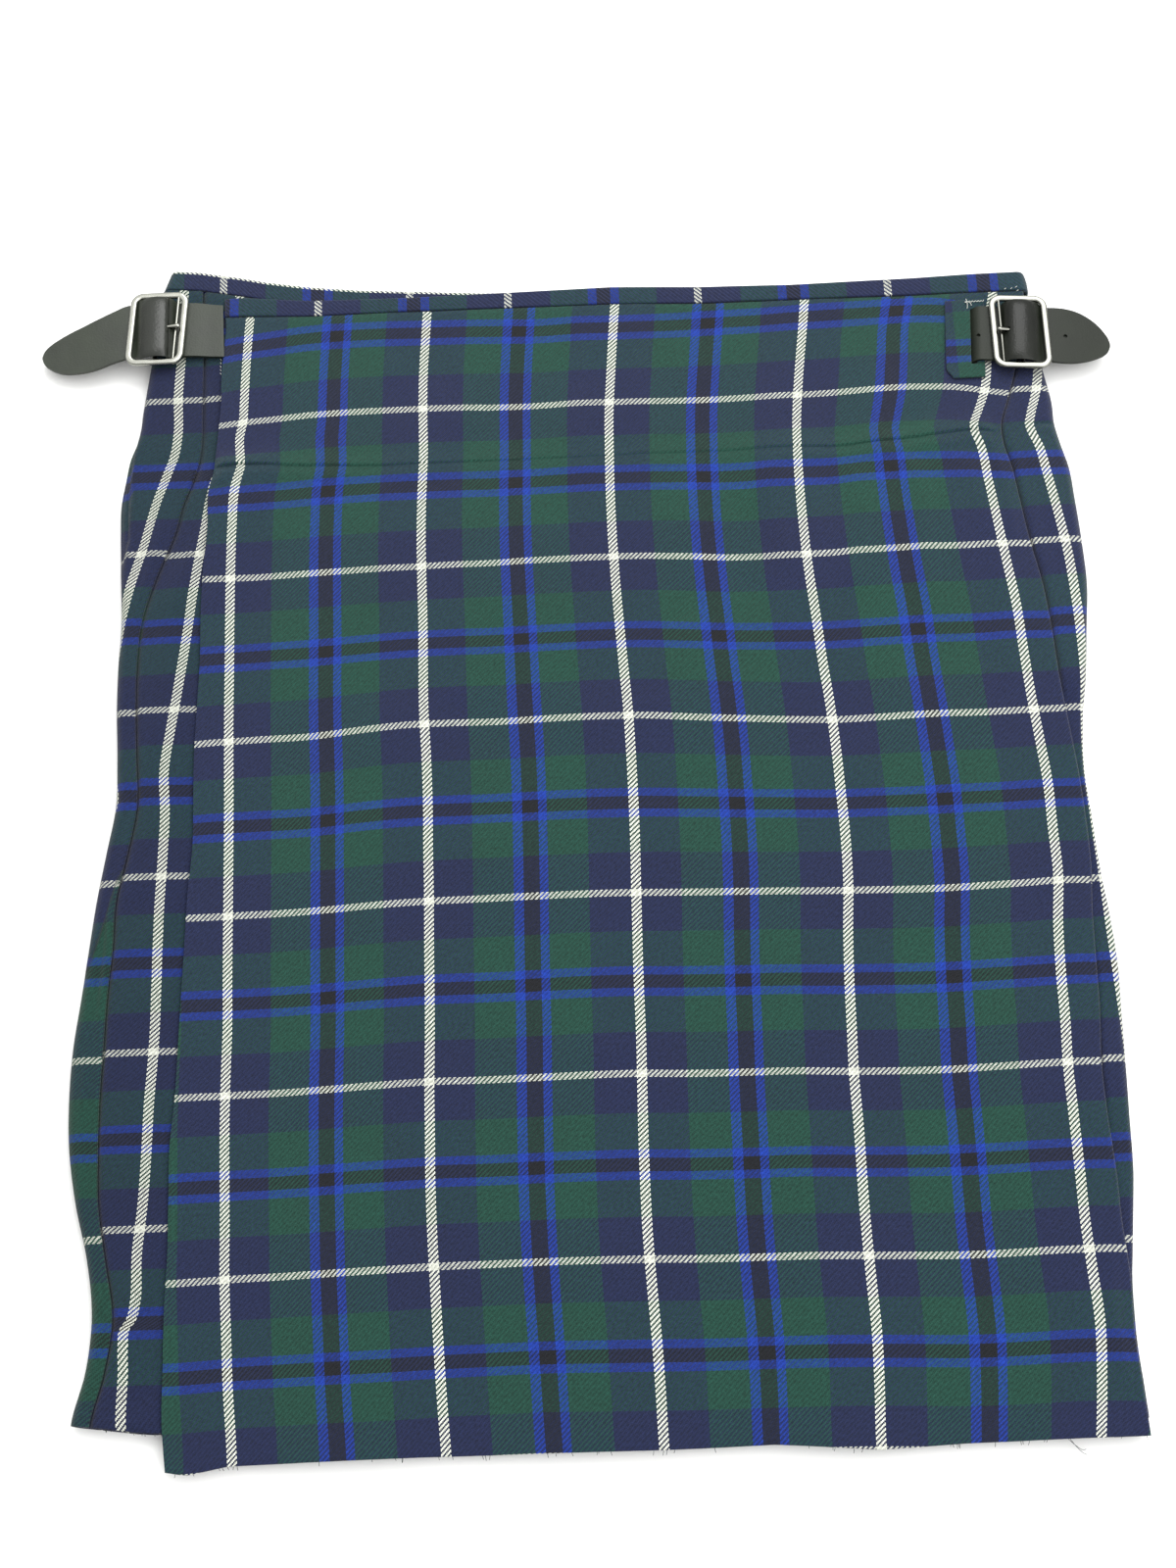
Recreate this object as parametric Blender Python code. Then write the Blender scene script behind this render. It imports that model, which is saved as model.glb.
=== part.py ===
"""Scottish kilt laid flat, front up: folded cloth walls, straps and buckles, in metres with +Z up."""

import math

import bmesh
import bpy
import numpy as np

for old in list(bpy.data.objects):
    bpy.data.objects.remove(old)

# Sizes in millimetres
WALL = 1.2  # cloth
GAP = 0.38  # air between layers
LAYER = WALL + GAP
HIP_TOP = 9.1  # top of the cloth at both hips
APRON_REST = 5.98  # top of the under apron where it lies on the back pleats
HIP_TURN = HIP_TOP / 2  # radius of the cloth where it goes round a hip
FOLD_TURN = LAYER / 2  # radius of a pressed fold
FOLD_DEPTH = 15.0  # how far a pleat goes in under its neighbour
BACK_FOLDS = 18
BAND_WALL = 1.8  # the waistband, folded double
SEAM = 0.6  # between the waistband and the cloth
STRAP_WALL = 1.8
CHAPE_WALL = 1.4

# Outline of the kilt seen from above, a row per section across it: where the
# left side, the pleat fold beside the apron, the apron's free edge, the
# apron's folded edge and the right side are
SECTION_COLUMNS = ("y", "left", "pleat_fold", "free_edge", "folded_edge", "right")
SECTIONS = (
    (285, -224, -202, -190, 237, 239),
    (270, -227, -201, -189, 236, 239),
    (255, -229, -201, -190, 234, 240),
    (240, -231, -201, -191, 230, 241),
    (225, -233, -201, -191, 226, 243),
    (210, -235, -201, -192, 221, 245),
    (198, -239, -202, -193, 217, 245),
    (186, -241, -205, -194, 217, 247),
    (172, -243, -210, -197, 220, 250),
    (155, -243, -214, -197, 222, 251),
    (130, -242, -223, -199, 225, 252),
    (105, -241, -230, -200, 229, 252),
    (80, -242, -232, -200, 231, 249),
    (55, -242, -232, -201, 232, 246),
    (30, -241, -231, -202, 234, 242),
    (5, -241, -230, -202, 236, 240),
    (-20, -245, -234, -202, 237, 241),
    (-45, -249, -239, -204, 237, 242),
    (-70, -252, -240, -205, 235, 244),
    (-95, -255, -242, -206, 234, 245),
    (-120, -258, -243, -207, 233, 244),
    (-145, -259, -244, -208, 231, 243),
    (-170, -258, -244, -210, 231, 242),
    (-195, -254, -243, -210, 232, 241),
    (-220, -248, -239, -210, 232, 238),
    (-245, -245, -235, -211, 233, 235),
    (-270, -247, -238, -211, 232, 234),
    (-295, -253, -244, -211, 233, 235),
    (-318, -253, -244, -209, 234, 236),
)

# Waist seam, top of the band and hem of the over apron
APRON_ENDS_COLUMNS = ("x", "seam", "band_top", "hem")
APRON_ENDS = (
    (-212, 278.6, 289.3, -314.8),
    (-200, 278.6, 289.3, -316.9),
    (-181, 278.4, 290.2, -313.6),
    (-144, 278.8, 288.6, -313.4),
    (-92, 279.3, 288.0, -313.2),
    (16, 278.8, 289.6, -314.4),
    (65, 277.0, 287.4, -314.0),
    (112, 277.2, 286.6, -318.2),
    (150, 277.0, 287.2, -316.8),
    (238, 276.2, 288.2, -316.7),
)

# Waist seam, top of the band and hem of the under apron, the hips and the back
UNDER_ENDS_COLUMNS = ("x", "seam", "band_top", "hem")
UNDER_ENDS = (
    (-262, 299.5, 311.0, -291.5),
    (-224, 298.5, 310.5, -297.0),
    (-204, 297.0, 308.5, -298.8),
    (-169, 290.0, 301.4, -300.0),
    (-120, 284.0, 295.5, -301.0),
    (-51, 279.0, 290.4, -303.0),
    (100, 276.5, 288.0, -306.0),
    (262, 275.5, 286.8, -309.0),
)

# Soft folds of the over apron: middle and spread each way, height, lean
RIPPLE_COLUMNS = ("x", "y", "spread_x", "spread_y", "height", "lean")
RIPPLES = (
    (-120.0, -330.0, 30.0, 150.0, 2.0, 0.05),
    (-20.0, -330.0, 38.0, 190.0, 2.4, -0.04),
    (92.0, -325.0, 30.0, 210.0, 3.0, 0.02),
    (104.0, 165.0, 20.0, 70.0, 2.2, -0.16),
    (150.0, 175.0, 16.0, 60.0, 1.6, 0.12),
    (30.0, 150.0, 26.0, 90.0, 1.3, 0.06),
    (-70.0, 120.0, 30.0, 80.0, 1.2, -0.05),
    (185.0, -60.0, 22.0, 120.0, 1.8, 0.03),
)

# Buckles seen from above: which way the tip points, middle, turn in degrees and
# how far in the chape reaches
BUCKLE_COLUMNS = ("name", "out", "x", "y", "turn", "chape")
BUCKLES = (
    ("left", -1, -225.0, 271.2, 0.0, 19.0),
    ("right", 1, 230.9, 248.3, -4.0, 12.8),
)
BUCKLE_BASE = 9.45  # under the chape
FRAME_LONG = 43.6
FRAME_WIDE = 30.8
FRAME_BAR = 4.0
FRAME_HIGH = 2.4
FRAME_MID = BUCKLE_BASE + 5.1
BAR_MID = BUCKLE_BASE + 4.2
BAR_RADIUS = 1.2

# Straps, in the buckle's own axes: out from its middle, height over its base,
# middle and half width across
STRAP_COLUMNS = ("out", "height", "middle", "half")
HUMP = (
    (-15.6, 2.65, 0, 16), (-8.7, 2.65, 0, 16), (-6.4, 4.3, 0, 16), (-4.3, 6.7, 0, 16),
    (-1.9, 8.4, 0, 16), (0, 8.65, 0, 16), (2.4, 8.2, 0, 16), (4.3, 6.7, 0, 16),
    (6.4, 4.3, 0, 16), (8.7, 2.65, 0, 16), (15.8, 2.65, -0.2, 16),
)
STRAPS = {
    "left": ((-34.2, 1.3, 0.6, 16.6), (-28, 1.7, 0.5, 16.3), (-20.5, 2.5, 0.3, 16.1)) + HUMP + (
        (23, 2.3, -2.6, 15.6), (32, 1.5, -6.2, 15.0), (40, 0.5, -8.6, 13.8),
        (47, -0.5, -10.0, 12.2), (53, -1.3, -10.6, 9.4), (58, -2.0, -10.2, 6.2),
        (61.6, -2.5, -9.4, 2.4)),
    "right": ((-32.9, -2.1, 0, 16), (-30.9, -1.0, 0, 16), (-28.6, 0.9, 0, 16),
              (-26.7, 2.3, 0, 16), (-24.4, 2.7, 0, 16), (-19, 2.7, 0, 16)) + HUMP + (
        (21, 2.5, -0.6, 16.0), (27, 2.1, -1.3, 15.8), (33, 1.5, -2.0, 15.0),
        (38.5, 0.9, -3.4, 12.6), (43, 0.4, -4.7, 8.8), (46, 0.1, -5.6, 5.2),
        (47.6, 0.0, -6.2, 2.2)),
}

def column(columns, rows, name):
    """One named column of a table."""
    i = columns.index(name)
    return [row[i] for row in rows]


def lookup(columns, rows, name, at):
    """A named column, read at a place along the table's first column."""
    keys, values = column(columns, rows, columns[0]), column(columns, rows, name)
    if keys[0] > keys[-1]:
        keys, values = keys[::-1], values[::-1]
    return float(np.interp(at, keys, values))


def section(name, y):
    return lookup(SECTION_COLUMNS, SECTIONS, name, y)


def apron_end(name, x):
    return lookup(APRON_ENDS_COLUMNS, APRON_ENDS, name, x)


def under_end(name, x):
    return lookup(UNDER_ENDS_COLUMNS, UNDER_ENDS, name, x)


def ease(t):
    """0 to 1 with soft ends."""
    t = min(1.0, max(0.0, t))
    return t * t * (3 - 2 * t)


def blend(a, b, t):
    return a + (b - a) * t


def material(name, color, metallic=0.0, roughness=0.9):
    m = bpy.data.materials.get(name) or bpy.data.materials.new(name)
    m.use_nodes = True
    p = m.node_tree.nodes["Principled BSDF"]
    p.inputs["Base Color"].default_value = (*color, 1.0)
    p.inputs["Metallic"].default_value = metallic
    p.inputs["Roughness"].default_value = roughness
    return m


WOOL = {"color": (0.022, 0.050, 0.062), "roughness": 0.92}
LEATHER = {"color": (0.030, 0.030, 0.022), "roughness": 0.6}
STEEL = {"color": (0.62, 0.62, 0.64), "metallic": 1.0, "roughness": 0.18}


def body(name, points, faces, look):
    """An object from points in millimetres, with its own material."""
    mesh = bpy.data.meshes.new(name)
    mesh.from_pydata([tuple(float(c) * 0.001 for c in p) for p in points], [], faces)
    bm = bmesh.new()
    bm.from_mesh(mesh)
    loose = [v for v in bm.verts if not v.link_faces]
    bmesh.ops.delete(bm, geom=loose, context="VERTS")
    bmesh.ops.recalc_face_normals(bm, faces=bm.faces)
    if bm.calc_volume(signed=True) < 0:
        bmesh.ops.reverse_faces(bm, faces=bm.faces)
    bm.to_mesh(mesh)
    bm.free()
    obj = bpy.data.objects.new(name, mesh)
    bpy.context.collection.objects.link(obj)
    mesh.materials.append(material(name + "_look", **look))
    return obj


def unit(v):
    n = np.linalg.norm(v, axis=-1, keepdims=True)
    return v / np.maximum(n, 1e-9)


def along(points, axis):
    """Directions along one axis of a grid, each the mean of its two sides."""
    p = np.moveaxis(points, axis, 0)
    d = unit(np.diff(p, axis=0))
    mean = np.concatenate([d[:1], d[:-1] + d[1:], d[-1:]])
    return np.moveaxis(unit(mean), 0, axis)


def sheet(name, middle, wall, look, holes=()):
    """A closed wall round a grid of points; holes are (row, column) cells left out."""
    middle = np.array(middle, float)
    rows, cols = middle.shape[:2]
    normal = unit(np.cross(along(middle, 1), along(middle, 0)))
    skins = np.concatenate([middle + normal * wall / 2, middle - normal * wall / 2])
    size = rows * cols

    def at(r, c, skin):
        return skin * size + r * cols + c

    cells = {(r, c) for r in range(rows - 1) for c in range(cols - 1)} - set(holes)
    faces = []
    for r, c in sorted(cells):
        quad = [(r, c), (r, c + 1), (r + 1, c + 1), (r + 1, c)]
        faces.append([at(*q, 0) for q in quad])
        faces.append([at(*q, 1) for q in quad[::-1]])
        beside = ((r - 1, c), (r, c + 1), (r + 1, c), (r, c - 1))
        for k, other in enumerate(beside):
            if other not in cells:
                a, b = quad[k], quad[(k + 1) % 4]
                faces.append([at(*b, 0), at(*a, 0), at(*a, 1), at(*b, 1)])
    return body(name, skins.reshape(-1, 3), faces, look)


def tube(name, path, radius, look, sides=8):
    """A closed round rod along a path that lies in an upright plane."""
    path = np.array(path, float)
    d = unit(np.gradient(path, axis=0))
    side = unit(np.cross(d, (0.0, 1.0, 0.0)))
    other = np.cross(side, d)
    turn = np.arange(sides) * 2 * math.pi / sides
    rings = [p + radius * (np.cos(a) * s + np.sin(a) * o)
             for p, s, o in zip(path, side, other) for a in turn]
    faces = []
    for i in range(len(path) - 1):
        for k in range(sides):
            n = (k + 1) % sides
            faces.append([i * sides + k, i * sides + n,
                          (i + 1) * sides + n, (i + 1) * sides + k])
    faces.append(list(range(sides))[::-1])
    faces.append([(len(path) - 1) * sides + k for k in range(sides)])
    return body(name, rings, faces, look)


DEPTH_1 = WALL / 2
DEPTH_2 = DEPTH_1 + LAYER
DEPTH_3 = DEPTH_2 + LAYER
# A layer that goes in under a fold, from the fold's middle: along, then depth
GO_UNDER = ((-5.6, 0.60), (-3.5, 1.00), (-2.68, 1.95), (-1.75, 3.47), (0.2, DEPTH_3))
FOLD_EDGE = FOLD_TURN + WALL / 2


def fold(middle):
    """Points of a pressed fold that comes back on top of itself."""
    return [(middle - FOLD_TURN * math.sin(a), DEPTH_1 + FOLD_TURN + FOLD_TURN * math.cos(a))
            for a in (0.0, math.pi / 3, 2 * math.pi / 3, math.pi)]


def tucked(middle, depth_in, share=1.0):
    """Points of the layer that goes in under a fold and ends there."""
    run = [(middle + s, DEPTH_1 + (d - DEPTH_1) * share) for s, d in GO_UNDER]
    return run + [(middle + depth_in, DEPTH_1 + (DEPTH_3 - DEPTH_1) * share)]


def under_top(x, y):
    """Top of the under apron: it sinks from the hip onto the back pleats."""
    low = float(np.interp(y, (-320, 100, 190, 300), (-185, -175, -145, -139)))
    return APRON_REST + (HIP_TOP - APRON_REST) * ease((low - x) / 44)


def ripple(x, y):
    total = 0.0
    for rx, ry, sx, sy, height, lean in RIPPLES:
        dx = x - rx - lean * (y - ry)
        total += height * math.exp(-((dx / sx) ** 2) - ((y - ry) / sy) ** 2)
    return total


def apron_top(x, y):
    """Top of the over apron."""
    edge, free = section("folded_edge", y), section("free_edge", y)
    low = under_top(x, y) + LAYER + 0.2
    rest = blend(low, HIP_TOP, ease((x - edge + 70) / 48)) if x > 0 else low
    calm = ease((x - free) / 45) * ease((edge - 22 - x) / 40)
    return rest + ripple(x, y) * calm


# Section stations from the waist seam to the hem
FINE = (0.0, 0.0148, 0.045, 0.0765, 0.11, 0.13, 0.15, 0.175, 0.21, 0.25, 0.3, 0.35, 0.4,
        0.45, 0.5, 0.55, 0.6, 0.65, 0.7, 0.75, 0.8, 0.85, 0.9, 0.95, 1.0)
COARSE = (0.0, 0.15, 0.3, 0.5, 0.7, 0.9, 1.0)
FIRST_FOLD_IN = 14.0  # first and last back fold, counted from the kilt's sides
LAST_FOLD_IN = 26.0


def left_side(v):
    return section("left", blend(298.5, -295.0, v))


def right_side(v):
    """The cloth under the apron on the right, where the strip beside it ends."""
    edge = section("folded_edge", blend(276.2, -316.7, v))
    wide = section("right", blend(276.0, -309.0, v)) - edge
    share = ease((wide - 9.2) / 5.0)
    return edge + wide - 1.4 * (1 - ease(wide / 3.0)), edge, share


def back_folds(v):
    """Where the back's pleat folds are at a station, straight between coarse ones."""
    first = [left_side(c) + FIRST_FOLD_IN for c in COARSE]
    last = [right_side(c)[0] - LAST_FOLD_IN for c in COARSE]
    a, b = float(np.interp(v, COARSE, first)), float(np.interp(v, COARSE, last))
    return [blend(a, b, k / (BACK_FOLDS - 1)) + FOLD_EDGE for k in range(BACK_FOLDS)]


class Row:
    """The kilt's measures at one station."""

    def __init__(self, v):
        self.v = v
        y_left = blend(298.5, -295.0, v)
        self.left = left_side(v)
        self.right, self.edge, self.share = right_side(v)
        self.pleat_fold = max(section("pleat_fold", y_left), self.left + 8.6)
        self.strip_top = HIP_TOP - (1 - self.share) * (DEPTH_3 - DEPTH_1)
        self.folds = back_folds(v)

    def y(self, x):
        return blend(under_end("seam", x), under_end("hem", x), self.v)

    def point(self, x, z):
        return (x, self.y(x), z)

    def round_left(self, angle, depth):
        """A point where the cloth goes round the left hip: 90 is on top."""
        a, reach = math.radians(angle), HIP_TURN - depth
        return self.point(self.left + HIP_TURN - reach * math.cos(a),
                          HIP_TURN + reach * math.sin(a))

    def on_left(self, x, depth):
        """A point of the front's left part, so deep below its top."""
        if x >= self.left + HIP_TURN:
            return self.point(x, under_top(x, self.y(x)) - depth)
        # Counted on round the turn
        past = math.degrees((self.left + HIP_TURN - x) / HIP_TURN)
        return self.round_left(90 - past, depth)

    @property
    def hip_fold(self):
        """Middle of the pleat fold beside the apron."""
        return self.pleat_fold - FOLD_EDGE

    @property
    def hip_depth(self):
        """How deep the cloth goes in under that fold."""
        room = self.hip_fold - self.left - HIP_TURN
        return min(FOLD_DEPTH, max(1.2, room + 1.5))


# The pleat on the left hip: from inside its fold, over the hip and under the back
rows = []
for v in FINE:
    r = Row(v)
    start, tangent = r.hip_fold, r.left + HIP_TURN
    points = [r.on_left(start - s, d) for s, d in [(r.hip_depth, DEPTH_2)] + fold(0.0)]
    for share in (0.4, 0.75):
        points.append(r.on_left(blend(start - 0.8, tangent, share), DEPTH_1))
    points += [r.round_left(a, DEPTH_1) for a in (84, 58, 30, 0, -30, -60, -90)]
    points += [r.point(x, z) for x, z in tucked(r.folds[0], FOLD_DEPTH)]
    rows.append(points)
sheet("left_hip_pleat", rows, WALL, WOOL)

# The back pleats: each goes under its right neighbour and comes back out of it
rows = []
for v in COARSE:
    r = Row(v)
    path = []
    for k in range(BACK_FOLDS - 1):
        middle, inner = r.folds[k], r.folds[k + 1] + FOLD_DEPTH
        path += [(middle + FOLD_DEPTH, DEPTH_2)] + fold(middle)
        path += tucked(r.folds[k + 1], FOLD_DEPTH)
        if k < BACK_FOLDS - 2:
            path += [(inner + FOLD_TURN * math.sin(a),
                      DEPTH_2 + FOLD_TURN + FOLD_TURN * math.cos(a))
                     for a in (math.pi / 3, 2 * math.pi / 3)]
    rows.append([r.point(x, z) for x, z in path])
sheet("back_pleats", rows, WALL, WOOL)

# The pleat on the right hip: from inside the last back fold, round the hip to
# the strip beside the apron and in under the apron's folded edge
rows = []
for v in FINE:
    r = Row(v)
    middle, turn = r.folds[-1], r.strip_top / 2
    path = [(middle + FOLD_DEPTH, DEPTH_2)] + fold(middle)
    path += [(blend(middle, r.right - turn, 0.6), DEPTH_1)]
    for a in (0, 30, 60, 90, 120, 150, 180):
        s, c = math.sin(math.radians(a)), math.cos(math.radians(a))
        path.append((r.right - turn + (turn - DEPTH_1) * s, turn - (turn - DEPTH_1) * c))
    edge = min(r.edge - FOLD_EDGE, r.right - turn - 6.0)
    inner = edge - r.edge + FOLD_EDGE + FOLD_DEPTH
    path += [(edge - s, r.strip_top - d) for s, d in tucked(0.0, inner, r.share)]
    rows.append([r.point(x, z) for x, z in path])
sheet("right_hip_pleat", rows, WALL, WOOL)

# The under apron: from its hidden free edge to the left, in under the hip pleat
rows = []
for v in FINE:
    r = Row(v)
    stop = r.edge - FOLD_EDGE - FOLD_DEPTH - 7.0
    first = r.hip_fold + 5.6
    xs = [stop, 150.0, 100.0, 25.0, -51.0, -85.0, -120.0]
    xs += [blend(-120.0, first + 6, t) for t in (0.25, 0.5, 0.75, 1.0)]
    points = [r.on_left(x, DEPTH_1) for x in xs]
    points += [r.on_left(r.hip_fold - s, d) for s, d in tucked(0.0, r.hip_depth)]
    rows.append(points)
sheet("under_apron", rows, WALL, WOOL)

# The over apron: its folded edge on the right, then the front to its free edge
SLIT_X = (196.5, 204.5)
SLIT_MIDDLE = 249.3
SLIT_LEAN = 0.07
SLIT_ROWS = (1, 3)
rows = []
for v in FINE:
    y_edge = blend(276.2, -316.7, v)
    edge, free = section("folded_edge", y_edge), section("free_edge", y_edge)
    middle = edge - FOLD_EDGE
    points = []
    for s, d in [(FOLD_DEPTH, DEPTH_2)] + fold(0.0):
        x = middle - s
        points.append((x, blend(apron_end("seam", x), apron_end("hem", x), v), HIP_TOP - d))
    xs = [blend(middle, SLIT_X[1], 0.5), SLIT_X[1], SLIT_X[0]]
    xs += [172.0, 150.0, 128.0, 110.0, 93.0, 76.0, 54.0, 30.0, 6.0, -20.0, -46.0]
    xs += [-76.0, -100.0, -122.0, -142.0, -158.0, -172.0, -183.0]
    xs += [blend(-183.0, free, 0.55), free]
    for x in xs:
        y = blend(apron_end("seam", x), apron_end("hem", x), v)
        if x in SLIT_X:
            x += (y - SLIT_MIDDLE) * SLIT_LEAN * ease((0.3 - v) / 0.15)
        points.append((x, y, apron_top(x, y) - WALL / 2))
    rows.append(points)
slit = [(row, 6) for row in range(*SLIT_ROWS)]
sheet("over_apron", rows, WALL, WOOL, holes=slit)

# The patch round the slit that the right strap comes through
PATCH_X = (192.2, SLIT_X[0] - 0.7, SLIT_X[1] + 0.7, 217.0)
PATCH_Y = (271.5, 268.2, 249.3, 230.2, 224.6)
rows = [[(x + (y - SLIT_MIDDLE) * SLIT_LEAN, y, apron_top(x, y) + 0.95) for x in PATCH_X]
        for y in PATCH_Y]
sheet("slit_patch", rows, 1.0, WOOL, holes=[(1, 1), (2, 1)])

# The waistband: one strip from the over apron's free edge round the right side,
# along the back, round the left side and on along the under apron
right_turn, left_turn, half = 4.85, HIP_TOP / 2, BAND_WALL / 2
rows = []
for t in (0.0, 0.5, 1.0):
    right = 239.4 - 1.6 * t ** 3
    points = []

    def add(x, z, end):
        low = end("seam", x) + SEAM
        points.append((x, blend(low, end("band_top", x), t), z))

    free = section("free_edge", 280.0)
    for x in [free, -183.0, -172.0, -158.0, -142.0, -122.0, -100.0, -60.0, -20.0, 20.0,
              60.0, 100.0, 140.0, 165.0, 180.0, 195.0, 215.0]:
        add(x, apron_top(x, 278.0) - WALL + half, apron_end)
    for a in (180, 150, 120, 90, 60, 30, 0):
        s, c = math.sin(math.radians(a)), math.cos(math.radians(a))
        add(right - right_turn + (right_turn - half) * s, right_turn - (right_turn - half) * c,
            apron_end if a > 90 else under_end)
    for x in (150.0, 50.0, -50.0, -120.0, -169.0, -204.0):
        add(x, half, under_end)
    left = blend(-223.4, -219.6, t)
    for a in (-90, -60, -30, 0, 30, 60, 90):
        s, c = math.sin(math.radians(a)), math.cos(math.radians(a))
        add(left + left_turn - (left_turn - half) * c, left_turn + (left_turn - half) * s,
            under_end)
    for x in (-204.0, -190.0, -180.0, -169.0, -158.0, -146.0, -135.0, -120.0, -85.0, -51.0,
              25.0, 100.0, 160.0, 205.0):
        add(x, under_top(x, 290.0) - half, under_end)
    rows.append(points)
sheet("waistband", rows, BAND_WALL, WOOL)


# Straps, buckles, tongues and chapes
def local(buckle):
    """Turns a buckle's own axes (out, across, height over its base) into places."""
    name, out, x0, y0, turn, chape = buckle
    c, s = math.cos(math.radians(turn)), math.sin(math.radians(turn))

    def place(u, w, h):
        dx = u * out
        return (x0 + dx * c - w * s, y0 + dx * s + w * c, BUCKLE_BASE + h)

    return place


def ring(u, mid, radius, angles):
    """Points of a loop round a bar, from the inner side over the outer one."""
    return [(u - radius * math.cos(math.radians(a)), mid + radius * math.sin(math.radians(a)))
            for a in angles]


def frame(name, place):
    """A polished frame: a rounded ring with its middle bar and a thin inner bar."""
    long, wide = FRAME_LONG / 2 - FRAME_BAR / 2, FRAME_WIDE / 2 - FRAME_BAR / 2
    corner = 4.2
    path = []
    for k in range(4):
        cu = (wide - corner) * (1 if k in (0, 3) else -1)
        cw = (long - corner) * (1 if k in (0, 1) else -1)
        for a in (0, 22.5, 45, 67.5, 90):
            t = math.radians(a + 90 * k)
            path.append((cu + corner * math.cos(t), cw + corner * math.sin(t),
                         math.cos(t), math.sin(t)))
    half, high = FRAME_BAR / 2, FRAME_HIGH / 2
    shape = ((-half, -0.6), (-half + 0.6, -high), (half - 0.6, -high), (half, -0.6),
             (half, 0.4), (half - 1.1, high), (-half + 1.1, high), (-half, 0.4))
    mid = FRAME_MID - BUCKLE_BASE
    points, n, m = [], len(path), len(shape)
    for u, w, du, dw in path:
        points += [place(u + du * a, w + dw * a, mid + h) for a, h in shape]
    faces = [[i * m + k, i * m + (k + 1) % m,
              (i + 1) % n * m + (k + 1) % m, (i + 1) % n * m + k]
             for i in range(n) for k in range(m)]
    obj = body(name, points, faces, STEEL)
    for u, radius, flat, low in ((0.0, BAR_RADIUS, 1.0, BAR_MID), (-10.0, 0.75, 1.3, FRAME_MID)):
        bar = []
        for w in (-long, long):
            for k in range(10):
                a = 2 * math.pi * k / 10
                bar.append(place(u + radius * math.cos(a), w,
                                 low - BUCKLE_BASE + radius * flat * math.sin(a)))
        faces = [[k, (k + 1) % 10, 10 + (k + 1) % 10, 10 + k] for k in range(10)]
        cut = body(name + "_bar", bar, faces + [list(range(10)), list(range(10, 20))[::-1]],
                   STEEL)
        join = obj.modifiers.new("join", "BOOLEAN")
        join.operation, join.solver, join.object = "UNION", "EXACT", cut
        bpy.context.view_layer.update()
        result = bpy.data.meshes.new_from_object(
            obj.evaluated_get(bpy.context.evaluated_depsgraph_get()))
        obj.modifiers.clear()
        obj.data = result
        used = bpy.data.materials.get(name + "_bar_look")
        bpy.data.objects.remove(cut)
        obj.data.materials.clear()
        obj.data.materials.append(material(name + "_look", **STEEL))
        bpy.data.materials.remove(used)
    return obj


for buckle in BUCKLES:
    side = buckle[0]
    place = local(buckle)
    frame(side + "_buckle", place)

    # The strap, with the hole that the tongue comes up through
    table = STRAPS[side]
    hole = [row[0] for row in table].index(-6.4)
    shares = (-1.0, -0.55, -0.1, 0.1, 0.55, 1.0)
    rows = [[place(u, mid + half * t, h) for u, h, mid, half in table] for t in shares]
    sheet(side + "_strap", rows, STRAP_WALL, LEATHER, holes=[(2, hole), (2, hole + 1)])

    # The chape folds round the middle bar, with a slot for the tongue
    path = [(-buckle[5], 0.7), (-11.0, 0.7), (-6.5, 0.7), (-3.4, 1.3)]
    path += ring(0.0, 4.2, BAR_RADIUS + 0.3 + CHAPE_WALL / 2, (-70, -100, -140, 180, 140, 100, 60))
    rows = [[place(u, 13.5 * t, h) for u, h in path] for t in (-1, -0.16, 0.16, 1)]
    sheet(side + "_chape", rows, CHAPE_WALL, LEATHER, holes=[(1, c) for c in range(2, 10)])

    # The tongue hooks round the middle bar and rests on the thin inner bar
    path = ring(0.0, 4.2, BAR_RADIUS + 0.3 + 0.75, (-60, -95, -130, -165, 160, 125, 90))
    path += [(-2.0, 6.5), (-5.0, 6.85), (-9.0, 7.28), (-11.8, 7.5)]
    tube(side + "_tongue", [place(u, 0.0, h) for u, h in path], 0.75, STEEL)

# The origin is under the middle of the whole kilt
low = np.min([np.min([v.co for v in o.data.vertices], axis=0) for o in bpy.data.objects], axis=0)
high = np.max([np.max([v.co for v in o.data.vertices], axis=0) for o in bpy.data.objects], axis=0)
shift = np.array([(low[0] + high[0]) / 2, (low[1] + high[1]) / 2, low[2]])
for obj in bpy.data.objects:
    for vertex in obj.data.vertices:
        vertex.co = [c - d for c, d in zip(vertex.co, shift)]
print("size", (high - low).round(4), "moved by", (-shift).round(5))
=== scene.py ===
# %% [markdown]
# # A pleated kilt, laid flat with its front up
# The real object is a wrap skirt: two flat aprons that lie on each other in front, and a
# long run of knife pleats behind, all in one width of checked wool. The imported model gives
# the size and place of each piece. This script dresses each piece in thin cloth, leather
# and steel, and never moves the model itself.

import math

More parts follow.
